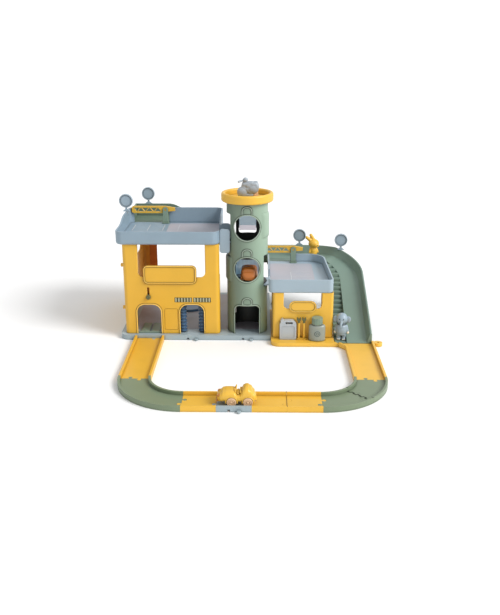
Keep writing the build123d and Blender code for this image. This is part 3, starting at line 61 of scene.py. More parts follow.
# ---------------------------------------------------------------- materials
COLOURS = {
    "yellow_plastic": (0.765, 0.448, 0.048),
    "blue_grey_plastic": (0.30, 0.385, 0.45),
    "green_plastic": (0.225, 0.31, 0.235),
    "navy_plastic": (0.05, 0.11, 0.20),
    "orange_plastic": (0.42, 0.13, 0.02),
    "beige_plastic": (0.80, 0.52, 0.30),
    "dark_grey_plastic": (0.33, 0.40, 0.46),
    "ramp_green": (0.174, 0.253, 0.207),
    "bend_green": (0.182, 0.236, 0.145),
    "chute_green": (0.145, 0.205, 0.155),
    # darker and lighter copies of the blue-grey: painted shade on the left deck, painted light on the right
    # one
    "deck_shaded_left": (0.247, 0.333, 0.403),
    "deck_lit_right": (0.345, 0.44, 0.51),
    "base_grey": (0.325, 0.40, 0.43),
    "oil_grey": (0.28, 0.31, 0.27),
    "scooter_grey": (0.345, 0.39, 0.43),
    # darker and lighter copies of the yellow: painted shade on the left pieces, painted light on the right
    # ones
    "yellow_shaded_left": (0.725, 0.41, 0.034),
    "yellow_lit_right": (0.81, 0.475, 0.055),
    # painted highlights and painted shade lines for the outlines; the brown also colours a jigsaw seam
    "shade_line_green": (0.075, 0.10, 0.075),
    "highlight_green": (0.33, 0.41, 0.33),
    "shade_and_seam_brown": (0.33, 0.17, 0.02),
    "highlight_yellow": (0.93, 0.62, 0.13),
    "shade_line_grey": (0.13, 0.17, 0.20),
    "highlight_grey": (0.42, 0.50, 0.56),
    "seam_green": (0.05, 0.065, 0.04),
    "lilac_print": (0.415, 0.43, 0.485),
    "pink_print": (0.47, 0.44, 0.475),
    "white_print": (0.58, 0.60, 0.62),
    "cream": (0.80, 0.74, 0.60),
    "vent_cream": (0.42, 0.42, 0.27),
    "dark": (0.05, 0.06, 0.06),
    "purple_print": (0.27, 0.235, 0.25),
    "pale_grey": (0.42, 0.46, 0.49),
    "panel_grey": (0.70, 0.76, 0.80),
    # near-black painted shade for the inside of the tower and the front of the lift cab
    "inside_shade_black": (0.010, 0.014, 0.011),
    "shutter_grey": (0.47, 0.46, 0.50),
    "lamp_orange": (0.50, 0.19, 0.03),
    "emblem": (0.07, 0.11, 0.11),
    "olive": (0.10, 0.105, 0.04),
    # painted shade for the inner faces of the left wall and its rear pillar
    "wall_shade_orange": (0.95, 0.42, 0.06),
    "wall_shade": (0.80, 0.20, 0.03),
}
GRAIN = 0.03  # how far the mottling strays from a colour
CREASE_SHADE_REACH, RIM_HIGHLIGHT_REACH = 0.006, 0.0016  # metres over which painted shade darkens creases and a painted highlight lightens rims
TOWER_SIDE = 0.062  # metres from the tower's axis to where its painted shading ends
TOWER_PAINTED_SHADING = (0.54, 1.36)  # painted shade and light: strength of the tower's colour at its left and its right side
materials = {}


def add_node(tree, kind, inputs=(), **settings):
    """New shader node with its settings and input values."""
    made = tree.nodes.new(f"ShaderNode{kind}")
    for name, value in settings.items():
        setattr(made, name, value)
    for name, value in dict(inputs).items():
        made.inputs[name].default_value = value
    return made


def mapped(tree, value, from_min, from_max, to_min, to_max):
    """Takes a value socket from one range to another and clamps it."""
    fit = add_node(
        tree, "MapRange", {"From Min": from_min, "From Max": from_max, "To Min": to_min, "To Max": to_max}
    )
    tree.links.new(value, fit.inputs["Value"])
    return fit.outputs["Result"]


def scaled(tree, colour, factor):
    """Multiplies a colour socket by a factor socket."""
    product = add_node(tree, "VectorMath", operation="SCALE")
    tree.links.new(colour, product.inputs[0])
    tree.links.new(factor, product.inputs["Scale"])
    return product.outputs["Vector"]


def position(tree, axis):
    """World position along an axis, or for R the distance from the tower's axis."""
    spot = add_node(tree, "NewGeometry").outputs["Position"]
    if axis != "R":
        split = add_node(tree, "SeparateXYZ")
        tree.links.new(spot, split.inputs[0])
        return split.outputs[axis]
    flat = add_node(tree, "VectorMath", {1: (1.0, 1.0, 0.0)}, operation="MULTIPLY")
    tree.links.new(spot, flat.inputs[0])
    size = add_node(tree, "VectorMath", operation="LENGTH")
    tree.links.new(flat.outputs["Vector"], size.inputs[0])
    return size.outputs["Value"]


def rim_highlight_gain(tree, gain):
    """Factor that rises where one face turns into the next: a painted highlight along edges."""
    eased = add_node(tree, "Bevel", {"Radius": RIM_HIGHLIGHT_REACH}, samples=6)
    turned = add_node(tree, "VectorMath", operation="DOT_PRODUCT")
    tree.links.new(eased.outputs["Normal"], turned.inputs[0])
    tree.links.new(add_node(tree, "NewGeometry").outputs["Normal"], turned.inputs[1])
    return mapped(tree, turned.outputs["Value"], 0.985, 0.80, 1.0, 1.0 + gain)


def plastic(name, roughness=0.42, edge=0.0009, zones=(), crease_shade=0.5, rim_highlight=0.22, across=None):
    """Moulded plastic: slight mottling, fine orange-peel bump, softened edges with a painted highlight, and
    painted shade in creases.

    Each zone is (axis, limit in mm, colour): positions beyond the limit take that colour, and for R and -Y
    those short of it. Across paints shade and light on the tower: the strength of its colour at its left and
    right side.
    """
    key = (name, roughness, edge, tuple(zones), crease_shade, rim_highlight, across)
    if key in materials:
        return materials[key]
    m = bpy.data.materials.new(f"{name}_{len(materials)}")
    m.use_nodes = True
    tree = m.node_tree
    link = tree.links.new
    shader = tree.nodes["Principled BSDF"]
    shader.inputs["Roughness"].default_value = roughness
    where = add_node(tree, "TexCoord").outputs["Object"]
    mottle = add_node(tree, "TexNoise", {"Scale": 18.0, "Detail": 3.0})
    link(where, mottle.inputs["Vector"])
    ramp = add_node(tree, "ValToRGB")
    for stop, spot, strength in zip(ramp.color_ramp.elements, (0.3, 0.7), (1 - GRAIN, 1 + GRAIN)):
        stop.position = spot
        stop.color = (*[min(c * strength, 1) for c in COLOURS[name]], 1)
    link(mottle.outputs["Fac"], ramp.inputs["Fac"])
    shown = ramp.outputs["Color"]
    for axis, limit, other in zones:
        compare = "LESS_THAN" if axis in ("R", "-Y") else "GREATER_THAN"
        side = add_node(tree, "Math", {1: limit * MM}, operation=compare)
        link(position(tree, axis[-1]), side.inputs[0])
        blend = add_node(tree, "Mix", data_type="RGBA")
        blend.inputs["B"].default_value = (*COLOURS[other], 1)
        link(side.outputs[0], blend.inputs["Factor"])
        link(shown, blend.inputs["A"])
        shown = blend.outputs["Result"]
    # painted shade on the tower's left side and painted light on its right
    if across:
        shown = scaled(tree, shown, mapped(tree, position(tree, "X"), -TOWER_SIDE, TOWER_SIDE, *across))
    # painted highlight where faces meet at an edge
    if edge:
        shown = scaled(tree, shown, rim_highlight_gain(tree, rim_highlight))
    # painted shade in creases and where parts meet, from ambient occlusion
    crease_shade_factor = add_node(tree, "AmbientOcclusion", {"Distance": CREASE_SHADE_REACH}, samples=8)
    shown = scaled(tree, shown, mapped(tree, crease_shade_factor.outputs["AO"], 0.35, 0.95, crease_shade, 1.0))
    link(shown, shader.inputs["Base Color"])
    peel = add_node(tree, "TexNoise", {"Scale": 900.0, "Detail": 2.0})
    link(where, peel.inputs["Vector"])
    bump = add_node(tree, "Bump", {"Strength": 0.05, "Distance": 0.0002})
    link(peel.outputs["Fac"], bump.inputs["Height"])
    soft = add_node(tree, "Bevel", {"Radius": edge}, samples=6)
    link(soft.outputs["Normal"], bump.inputs["Normal"])
    link(bump.outputs["Normal"], shader.inputs["Normal"])
    materials[key] = m
    return m


def paint(obj, material):
    obj.data.materials.clear()
    obj.data.materials.append(material)


for name, obj in nodes.items():
    paint(obj, plastic(slot_of[name]))
# the tower's inner faces are painted near-black as shade
TOWER_ZONES = (("R", 58.2, "inside_shade_black"),)
for name in ("tower_front", "tower_rear"):
    paint(nodes[name], plastic("green_plastic", zones=TOWER_ZONES, crease_shade=0.35, rim_highlight=0.35, across=TOWER_PAINTED_SHADING))
# painted shade: all of the lift cab except its back is near-black
paint(nodes["lift_cab"], plastic("panel_grey", zones=(("-Y", 30.0, "inside_shade_black"),)))
paint(nodes["vent_grilles"], plastic("olive", zones=(("-Y", -49.4, "vent_cream"),)))
paint(nodes["tool_rack"], plastic("yellow_plastic", zones=(("Z", 62.0, "olive"),)))
paint(nodes["jerrycan"], plastic("pale_grey", 0.38))
paint(nodes["oil_can"], plastic("oil_grey", 0.3))
paint(nodes["service_knob"], plastic("olive"))
# painted shade: the inner faces of the left wall and of its rear pillar are painted darker and redder than
# the outer ones
WALL_ZONES = (("X", -358.0, "wall_shade_orange"), ("X", -334.0, "wall_shade"), ("Y", 328.5, "yellow_plastic"))
paint(nodes["side_wall_left"], plastic("yellow_plastic", zones=WALL_ZONES))
for shade, names in (
    ("bend_green", ("track_left_bend", "track_right_bend_1", "track_right_bend_2")),
    ("chute_green", ("upper_chute",)),
    # painted shade and light: left pieces take darker copies of their plastic, right pieces lighter ones
    ("deck_shaded_left", ("upper_deck",)),
    ("deck_lit_right", ("lower_deck",)),
    ("base_grey", ("base_plate", "track_front_crossing")),
    ("yellow_shaded_left", ("facade_left", "sign_board_left", "track_left_straight")),
    ("yellow_lit_right", ("facade_right", "right_base", "track_funnel")),
):
    for name in names:
        paint(nodes[name], plastic(shade))


# ---------------------------------------------------------------- mesh helpers, in mm
def shade_smooth(data, sharp):
    """Smooth shading that breaks at edges sharper than the angle."""
    data.polygons.foreach_set("use_smooth", [True] * len(data.polygons))
    data.set_sharp_from_angle(angle=math.radians(sharp))


def circle(count):
    """Cosine and sine of evenly spread angles."""
    turns = [2 * math.pi * i / count for i in range(count)]
    return [(math.cos(t), math.sin(t)) for t in turns]


class Pile:
    """Collects closed shapes into one mesh."""

    def __init__(self):
        self.points, self.faces = [], []

    def add(self, points, faces, place=None):
        start = len(self.points)
        if place is not None:
            points = [place @ Vector(p) for p in points]
        self.points += [tuple(p) for p in points]
        self.faces += [[i + start for i in f] for f in faces]
        return self

    def loops(self, loops, place=None):
        """Skin over equal closed loops of points, capped at both ends."""
        n, last = len(loops[0]), len(loops) - 1
        points = [p for loop in loops for p in loop]
        faces = []
        for near in range(0, last * n, n):
            for j in range(n):
                k = (j + 1) % n
                faces.append([near + j, near + k, near + n + k, near + n + j])
        faces.append(list(range(n))[::-1])
        faces.append([last * n + i for i in range(n)])
        return self.add(points, faces, place)

    def ball(self, centre, radii):
        (x, y, z), (rx, ry, rz) = centre, radii
        rings = 16
        loops = []
        for i in range(1, rings):
            a = math.pi * i / rings
            level = z - rz * math.cos(a)
            loops.append([(x + rx * math.sin(a) * c, y + ry * math.sin(a) * s, level) for c, s in circle(24)])
        return self.loops(loops)

    def rod(self, start, end, r0, r1=None, round_ends=True):
        """Round bar from start to end."""
        r1 = r0 if r1 is None else r1
        a, b = Vector(start), Vector(end)
        place = Matrix.Translation(a) @ (b - a).to_track_quat("Z", "Y").to_matrix().to_4x4()
        length = (b - a).length
        profile = [(r0, 0), (r1, length)]
        if round_ends:
            profile = [(r0 * 0.25, -r0 * 0.97), (r0 * 0.6, -r0 * 0.8), (r0 * 0.87, -r0 * 0.5)] + profile
            profile += [
                (r1 * 0.87, length + r1 * 0.5),
                (r1 * 0.6, length + r1 * 0.8),
                (r1 * 0.25, length + r1 * 0.97),
            ]
        return self.lathe(profile, place, 20)

    def lathe(self, profile, place=None, around=64):
        """Turned shape from (radius, height) pairs."""
        return self.loops([[(r * c, r * s, z) for c, s in circle(around)] for r, z in profile], place)

    def tube(self, path, r, normal=(0, -1, 0), closed=False):
        """Thin round bead along a path that lies square to the normal."""
        n, normal = len(path), Vector(normal)
        loops = []
        for i in range(n):
            a = Vector(path[(i - 1) % n] if closed else path[max(i - 1, 0)])
            b = Vector(path[(i + 1) % n] if closed else path[min(i + 1, n - 1)])
            side = (b - a).cross(normal).normalized()
            up = side.cross(b - a).normalized()
            loops.append([tuple(Vector(path[i]) + side * r * c + up * r * s) for c, s in circle(8)])
        return self.loops(loops + loops[:1] if closed else loops)

    def brick(self, a, b):
        (x0, y0, z0), (x1, y1, z1) = a, b
        points = [(x, y, z) for z in (z0, z1) for x, y in ((x0, y0), (x1, y0), (x1, y1), (x0, y1))]
        faces = [[3, 2, 1, 0], [4, 5, 6, 7], [0, 1, 5, 4], [1, 2, 6, 5], [2, 3, 7, 6], [3, 0, 4, 7]]
        return self.add(points, faces)

    def prism(self, outline, z0, z1):
        """Upright prism over a flat outline of (x, y) pairs."""
        return self.loops([[(x, y, z) for x, y in outline] for z in (z0, z1)])

    def make(self, name, smooth=True, sharp=35.0):
        data = bpy.data.meshes.new(name)
        data.from_pydata([tuple(c * MM for c in p) for p in self.points], [], self.faces)
        data.update()
        data.validate()
        obj = bpy.data.objects.new(name, data)
        bpy.context.scene.collection.objects.link(obj)
        if smooth:
            shade_smooth(data, sharp)
        return obj


def bake(obj, sharp):
    """Turns the modifiers of an object into its mesh."""
    bpy.context.view_layer.update()
    ready = bpy.data.meshes.new_from_object(obj.evaluated_get(bpy.context.evaluated_depsgraph_get()))
    obj.modifiers.clear()
    obj.data = ready
    shade_smooth(ready, sharp)


VOXEL = 0.9  # grain of the melted skins


def merged(pile, name):
    """Melts overlapping shapes into one soft skin."""
    obj = pile.make(name)
    remesh = obj.modifiers.new("melt", "REMESH")
    remesh.mode = "VOXEL"
    remesh.voxel_size = VOXEL * MM
    relax = obj.modifiers.new("relax", "SMOOTH")
    relax.factor = 0.5
    relax.iterations = 5
    bake(obj, 60)
    obj.data.name = name
    return obj


def carve(obj, cutter):
    """Cuts a mesh with another one and drops the cutter."""
    cut = obj.modifiers.new("cut", "BOOLEAN")
    cut.operation = "DIFFERENCE"
    cut.solver = "EXACT"
    cut.object = cutter
    bake(obj, 40)
    bpy.data.objects.remove(cutter)


def rounded(x0, y0, x1, y1, r):
    """Outline of a rounded rectangle."""
    out = []
    corners = ((x1 - r, y1 - r, 0), (x0 + r, y1 - r, 90), (x0 + r, y0 + r, 180), (x1 - r, y0 + r, 270))
    for cx, cy, start in corners:
        for i in range(9):
            a = math.radians(start + 90 * i / 8)
            out.append((cx + r * math.cos(a), cy + r * math.sin(a)))
    return out


def at(x, y, z, turn=0.0):
    return Matrix.Translation((x, y, z)) @ Matrix.Rotation(math.radians(turn), 4, "Z")


def settle(obj, place):
    """Moves a mesh to a place given in mm."""
    obj.data.transform(Matrix.Translation(place.to_translation() * MM) @ place.to_3x3().to_4x4())


# ---------------------------------------------------------------- winding ramp with a smooth turn
def ramp_level(run):
    fall = max(run - RAMP_LEVEL_RUN, 0)
    return LOWER_FLOOR - RAMP_SLOPE * fall - RAMP_DIVE * fall * fall


def ramp_point(run, r, up):
    angle = min(max(run / TURN_MIDDLE, 0), math.pi / 2)
    x = TURN[0] + min(run, 0) + r * math.sin(angle)
    y = TURN[1] - max(run - TURN_MIDDLE * math.pi / 2, 0) + r * math.cos(angle)
    return (x, y, max(ramp_level(run) + up, 0.0))


# cross-section: distance from the turn's middle, height over the floor
lane = [
    (LANE_INNER, 0),
    (LANE_INNER + 1.5, 1.2),
    (LANE_INNER + 3, 0),
    (TURN_OUTER - 16, 0),
    (TURN_OUTER - 14, 0.6),
    (TURN_OUTER - 12.8, 2.0),
    (TURN_OUTER - 5.8, RAMP_RIM - 2.5),
    (TURN_OUTER - 5.0, RAMP_RIM - 0.8),
    (TURN_OUTER - 3.6, RAMP_RIM),
    (TURN_OUTER - 1.6, RAMP_RIM),
    (TURN_OUTER - 0.4, RAMP_RIM - 0.7),
    (TURN_OUTER, RAMP_RIM - 2),
    (TURN_OUTER, -12),
    (TURN_OUTER - 3, -12),
    (TURN_OUTER - 5, -5),
    (LANE_INNER + 3, -5),
    (LANE_INNER + 3, -20),
    (LANE_INNER, -20),
]
arc_run = TURN_MIDDLE * math.pi / 2
end_run = arc_run + TURN[1] - RAMP_END
runs = [RAMP_START - TURN[0] + 131.0 * i / 12 for i in range(12)]
runs += [arc_run * i / 72 for i in range(73)]
runs += [arc_run + (end_run - arc_run) * (i + 1) / 40 for i in range(40)]
ramp_pile = Pile().loops([[ramp_point(run, r, up) for r, up in lane] for run in runs])
stair_middle = (STAIR_INNER + LANE_INNER) / 2
stair_arc = stair_middle * math.radians(90 - STAIR_START)
stair_total = stair_arc + TURN[1] - STAIR_FOOT
stair_fall = (LOWER_FLOOR - STAIR_FOOT_HEIGHT) / stair_total
arc_stairs, straight_stairs = round(stair_arc / STAIR_RUN), round((TURN[1] - STAIR_FOOT) / STAIR_RUN)


def wedge(a0, a1, z0, z1):
    """Block between two angles round the turn; angles from the far side, clockwise, in degrees."""
    steps = max(2, int(abs(a1 - a0) / 3))
    angles = [math.radians(a0 + (a1 - a0) * i / steps) for i in range(steps + 1)]
    outline = [(TURN[0] + STAIR_INNER * math.sin(a), TURN[1] + STAIR_INNER * math.cos(a)) for a in angles]
    angles.reverse()
    outline += [(TURN[0] + STAIR_OUTER * math.sin(a), TURN[1] + STAIR_OUTER * math.cos(a)) for a in angles]
    ramp_pile.prism(outline, z0, z1)


ramp_pile.brick(
    (RAMP_START, TURN[1] + STAIR_INNER, LOWER_FLOOR - 5),
    (TURN[0], TURN[1] + STAIR_OUTER, LOWER_FLOOR),
)
wedge(0, STAIR_START, LOWER_FLOOR - 5, LOWER_FLOOR)
for i in range(arc_stairs):
    tread = LOWER_FLOOR - stair_fall * stair_arc * (i + 1) / arc_stairs
    step = (90 - STAIR_START) / arc_stairs
    wedge(STAIR_START + i * step, STAIR_START + (i + 1) * step, tread - STEP_DEPTH, tread)
for i in range(straight_stairs):
    depth = (TURN[1] - STAIR_FOOT) / straight_stairs
    tread = LOWER_FLOOR - stair_fall * (stair_arc + depth * (i + 1))
    y1 = TURN[1] - depth * i
    ramp_pile.brick(
        (TURN[0] + STAIR_INNER, y1 - depth, max(tread - STEP_DEPTH, 0)),
        (TURN[0] + STAIR_OUTER, y1, tread),
    )
ramp_pile.brick((TURN[0] + STAIR_INNER, RAMP_END, 0), (TURN[0] + STAIR_OUTER, STAIR_FOOT, STAIR_FOOT_HEIGHT))
ramp = ramp_pile.make("ramp_smooth")
paint(ramp, plastic("ramp_green", 0.45))
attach(ramp, "garage")
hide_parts("curved_ramp")


# ---------------------------------------------------------------- printed floors
SHEET = 0.25  # thickness of a print
LINE_LOW, LINE_HIGH = 0.2, 0.5  # parking lines over their floor
LINE_WIDTH = 2.0


def decal(name, outline, z, material):
    """Thin printed sheet on a floor."""
    obj = Pile().prism(outline, z, z + SHEET).make(name, smooth=False)
    paint(obj, material)
    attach(obj, "garage")


def worn(name, base, other, scale):
    """Print that varies softly between two colours."""
    m = plastic(base, 0.5, 0.0).copy()
    m.name = name
    tree = m.node_tree
    ramp = next(n for n in tree.nodes if n.type == "VALTORGB")
    noise = next(n for n in tree.nodes if n.type == "TEX_NOISE" and n.inputs["Scale"].default_value < 100)
    noise.inputs["Scale"].default_value = scale
    for stop, colour in zip(ramp.color_ramp.elements, (base, other)):
        stop.color = (*COLOURS[colour], 1)
    return m


print_lilac = worn("lilac_floor", "lilac_print", "pink_print", 9.0)
print_line = plastic("white_print", 0.5, 0.0)
print_purple = worn("purple_floor", "purple_print", "lilac_print", 7.0)

decal("upper_print", rounded(-246, -46, -84, 196, 10), UPPER_FLOOR, print_lilac)
decal("lower_print", rounded(68, -62, 200, 186, 10), LOWER_FLOOR, print_lilac)
lines = Pile()
for floor_level, x0, y0, x1, y1 in (
    *((UPPER_FLOOR, x, 96, x + LINE_WIDTH, 176) for x in range(-352, -168, 46)),
    *((UPPER_FLOOR, x, -34, x + LINE_WIDTH, 30) for x in range(-352, -178, 58)),
    (UPPER_FLOOR, -352, 62, -110, 62 + LINE_WIDTH),
    *((LOWER_FLOOR, 132, y, 192, y + LINE_WIDTH) for y in range(-50, 134, 46)),
    (LOWER_FLOOR, 130, -50, 130 + LINE_WIDTH, 90),
):
    lines.brick((x0, y0, floor_level + LINE_LOW), (x1, y1, floor_level + LINE_HIGH))
line_obj = lines.make("parking_lines", smooth=False)
paint(line_obj, print_line)
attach(line_obj, "garage")

decal("base_print", rounded(-342, -12, 58, 326, 14), BASE_TOP, print_purple)


# ---------------------------------------------------------------- shutters, glowing sheets, and outlines with painted highlights and shade
TOWER_R, RIM, FRONT = 59.5, 3.00, -51.0
WINDOWS, WINDOW_R = (213.5, 335.5), 36.0
DOOR_HALF, DOOR_HEAD = 35.5, 104.0
ARCHES, ARCH_HALF, ARCH_HEAD, ARCH_CORNER = (-287.5, -161.6), 35.0, 105.0, 24.0
SHUTTERS = ((0, 300, 374, 39.6), (180, 172, 246, 39.6), (90, 311, 385, 28.9))  # direction, z0, z1, half angle
SHUTTER_BULGE, SHUTTER_STEPS = 3.4, 60
SHUTTER_SPREAD = 6  # degrees past the CAD's shutter over which the bulge fades out


def ease(t):
    t = min(max(t, 0.0), 1.0)
    return t * t * (3 - 2 * t)


skins = Pile()
for middle, bottom, top, half in SHUTTERS:
    reach = half + SHUTTER_SPREAD
    loops = []
    for i in range(SHUTTER_STEPS + 1):
        turn = middle - reach + 2 * reach * i / SHUTTER_STEPS
        swell = ease((reach - abs(turn - middle)) / 9)
        a = math.radians(turn)
        loop = [(TOWER_R + 0.1, bottom), (TOWER_R + 0.1, top)]
        for k in range(17):
            z = top - (top - bottom) * k / 16
            rise = ease(min(z - bottom, top - z) / 6)
            loop.append((TOWER_R + 0.25 + SHUTTER_BULGE * swell * rise, z))
        loops.append([(r * math.cos(a), r * math.sin(a), z) for r, z in loop])
    skins.loops(loops)
skins_obj = skins.make("shutter_skins", sharp=50)
# the shutter skins carry the tower's painted shade and light across them
skin_zones = (("X", 50.0, "shutter_grey"), ("-Y", -8.0, "green_plastic"))
skin_paint = plastic("blue_grey_plastic", edge=0.0, crease_shade=0.8, across=TOWER_PAINTED_SHADING, zones=skin_zones)
paint(skins_obj, skin_paint)
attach(skins_obj, "garage")
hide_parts("tower_shutters")


def glowing_sheet(name, body, radius, span, bottom, top, colour, glow):
    """Thin sheet on the inner side of a curved wall, between two angles and two levels, that glows as painted
    light.
    """
    loops = []
    for i in range(25):
        a = math.radians(span[0] + (span[1] - span[0]) * i / 24)
        loop = ((radius - 0.4, bottom), (radius - 0.1, bottom), (radius - 0.1, top), (radius - 0.4, top))
        loops.append([(r * math.cos(a), r * math.sin(a), z) for r, z in loop])
    obj = Pile().loops(loops).make(name)
    m = plastic(colour, 0.5, 0.0).copy()
    shader = m.node_tree.nodes["Principled BSDF"]
    shader.inputs["Emission Color"].default_value = (*glow, 1)
    shader.inputs["Emission Strength"].default_value = 1.0
    paint(obj, m)
    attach(obj, body)


REAR_SPAN, CAB_SPAN, CAB_WALL = (65.5, 114.5), (48, 138), 54.3
# these sheets glow to paint light: on the rear blind, in a pale band under it, and on the back of the lift
# cab
glowing_sheet("rear_blind_glow_sheet", "garage", TOWER_R, REAR_SPAN, 318, 373.5, "panel_grey", (0.17, 0.23, 0.27))
glowing_sheet("rear_blind_glow_band", "garage", TOWER_R, REAR_SPAN, 303, 318, "white_print", (0.46, 0.43, 0.47))
glowing_sheet("cab_glow_sheet", "lift", CAB_WALL, CAB_SPAN, 170, 240, "panel_grey", (0.07, 0.14, 0.19))


def arch_path(x, half, foot, head, corner, reach):
    """Arch from its left foot over its head to its right foot; reach gives y for an x from its middle."""
    flat = [(-half, foot)]
    for side, start in ((-1, 180), (1, 90)):
        for i in range(9):
            a = math.radians(start - 90 * i / 8)
            flat.append((side * (half - corner) + corner * math.cos(a), head - corner + corner * math.sin(a)))
        if side < 0:
            flat += [((half - corner) * (i / 4 - 1), head) for i in range(1, 8)]
    flat.append((half, foot))
    return [(x + u, reach(u), z) for u, z in flat]


def ring_path(x, z, radius, reach):
    return [(x + radius * c, reach(radius * c), z + radius * s) for c, s in circle(48)]


def round_wall(radius):
    """Depth of a round wall's front at a distance from its middle."""
    return lambda u: -math.sqrt(radius * radius - u * u)


def flat_wall(y):
    return lambda u: y


def outline_piece(pile, name, colour):
    obj = pile.make(name)
    paint(obj, plastic(colour, 0.45, 0.0))
    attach(obj, "garage")


def extent(name):
    """Lowest and highest corner of a carried node, in mm."""
    corners = [nodes[name].matrix_world @ Vector(c) for c in nodes[name].bound_box]
    return [[pick(c[k] for c in corners) / MM for k in range(3)] for pick in (min, max)]


# beads on the rims are painted lighter as a highlight, and the dark lines beside them are painted shade
FOOT = 15.5
BEAD_R, LINE_R = 1.3, 0.8
BEAD_AT, LINE_AT = RIM / 2, RIM + 0.7  # distance outside the edge of an opening
light, line = Pile(), Pile()
skin, proud = round_wall(TOWER_R + 0.2), round_wall(TOWER_R + 1.3)
for height in WINDOWS:
    light.tube(ring_path(0, height, WINDOW_R + BEAD_AT, proud), BEAD_R, closed=True)
    line.tube(ring_path(0, height, WINDOW_R + LINE_AT, skin), LINE_R, closed=True)
light.tube(arch_path(0, DOOR_HALF + BEAD_AT, FOOT, DOOR_HEAD + BEAD_AT, 17, proud), BEAD_R)
line.tube(arch_path(0, DOOR_HALF + LINE_AT, FOOT, DOOR_HEAD + LINE_AT, 18, skin), LINE_R)
# small arched ridges over the door and the windows
for edge in (DOOR_HEAD, *(height + WINDOW_R for height in WINDOWS)):
    foot, head = edge + RIM, edge + 23.7
    light.tube(arch_path(0, 13.75, foot, head, 12.7, proud), 1.4)
    line.tube(arch_path(0, 15.9, foot, head + 2.1, 14.5, skin), 0.9)
    line.tube(arch_path(0, 11.5, foot, head - 2.2, 10.5, skin), LINE_R)
outline_piece(light, "tower_highlight_beads", "highlight_green")
outline_piece(line, "tower_shade_lines", "shade_line_green")

# painted highlight beads and painted shade lines round the arches and the sign boards
light, line = Pile(), Pile()
proud, skin = flat_wall(FRONT - 1.2), flat_wall(FRONT)
for x in ARCHES:
    bead = arch_path(x, ARCH_HALF + BEAD_AT, FOOT, ARCH_HEAD + BEAD_AT, ARCH_CORNER + 1, proud)
    light.tube(bead, BEAD_R)
    edge = arch_path(x, ARCH_HALF + LINE_AT, FOOT, ARCH_HEAD + LINE_AT, ARCH_CORNER + 2, skin)
    line.tube(edge, LINE_R)
bpy.context.view_layer.update()
(x0, y0, z0), (x1, y1, z1) = extent("sign_board_left")
LEFT_BOARD = (x0, z0, x1, z1, y0, 12)  # x0, z0, x1, z1, front face, corner radius
RIGHT_BOARD = (123.0, 92.0, 200.0, 125.0, -75.6, 16.4)
EDGE_DROP = 0.8  # the outermost line lies behind the board's face
for (x0, z0, x1, z1, face, corner), beads in (
    (LEFT_BOARD, ((light, 2.2, 1.0), (line, 4.0, 0.6), (line, -0.5, 0.8))),
    (RIGHT_BOARD, ((light, 1.8, 0.9), (line, 3.4, 0.5), (line, -0.5, 0.7))),
):
    for pile, inset, r in beads:
        path = rounded(x0 + inset, z0 + inset, x1 - inset, z1 - inset, corner - inset)
        depth = face + (EDGE_DROP if inset < 0 else 0)
        pile.tube([(x, depth, z) for x, z in path], r, closed=True)
outline_piece(light, "facade_highlight_beads", "highlight_yellow")
outline_piece(line, "facade_shade_lines", "shade_and_seam_brown")

# painted highlight beads and painted shade lines round the round signs
light, line = Pile(), Pile()
for i in range(1, 5):
    (x0, y0, z0), (x1, y1, z1) = extent(f"round_sign_{i}")
    half = (x1 - x0) / 2
    for pile, inset, r in ((light, 1.6, 1.2), (line, 3.6, 0.8)):
        pile.tube(ring_path((x0 + x1) / 2, z1 - half, half - inset, flat_wall(y0)), r, closed=True)
outline_piece(light, "sign_highlight_beads", "highlight_grey")
outline_piece(line, "sign_shade_lines", "shade_line_grey")

# seams of the jigsaw joints: across the right bend and across the front lane
LANE_SEAM, WALL_SEAM = 6.4, 15.1  # height of a seam on the floor and on the rims of the track
BEND_X, BEND_Y, BEND_IN, BEND_OUT, TRACK_RIM = 188.5, -355.5, 92.5, 177.5, 6.0
SEAM_X, SEAM_Y = math.cos(math.radians(-45)), math.sin(math.radians(-45))
FRONT_SEAM_X, LANE_FRONT, LANE_BACK = 103.5, -533, -448
UPWARD = (0, 0, 1)


def bend_spot(r, off, z):
    """Point of the bend's seam at a radius, moved off along the seam and across it."""
    return (BEND_X + (r + off * 0.2) * SEAM_X + off * 0.35, BEND_Y + (r + off * 0.2) * SEAM_Y + off * 0.35, z)


seams = Pile()
jog, lane_in, lane_out = 5.0, BEND_IN + TRACK_RIM, BEND_OUT - TRACK_RIM
path = []
for i in range(9):
    r = lane_in + (lane_out - lane_in) * i / 8
    path += [bend_spot(r, off, LANE_SEAM) for off in ((-jog, jog) if i % 2 else (jog, -jog))]
seams.tube(path, 0.9, normal=UPWARD)
for ends in ((BEND_IN, lane_in), (lane_out, BEND_OUT)):
    seams.tube([bend_spot(r, 0, WALL_SEAM) for r in ends], 0.8, normal=UPWARD)
outline_piece(seams, "bend_seam", "seam_green")
seams = Pile()
for y0, y1, z in (
    (LANE_FRONT, LANE_FRONT + 6, WALL_SEAM),
    (LANE_FRONT + 6, LANE_BACK - 6, LANE_SEAM),
    (LANE_BACK - 6, LANE_BACK, WALL_SEAM),
):
    seams.tube([(FRONT_SEAM_X, y0, z), (FRONT_SEAM_X, y1, z)], 0.7, normal=UPWARD)
outline_piece(seams, "front_seam", "shade_and_seam_brown")


# ---------------------------------------------------------------- toy cars
SQUARENESS = 2 / 3.2  # power of the rounded cross-section


def superloop(x, half, bottom, top):
    """Rounded cross-section of a car body at x."""
    mid, tall = (top + bottom) / 2, (top - bottom) / 2
    loop = []
    for c, s in circle(40):
        y = half * math.copysign(abs(c) ** SQUARENESS, c)
        z = mid + tall * math.copysign(abs(s) ** SQUARENESS, s)
        loop.append((x, y, z))
    return loop


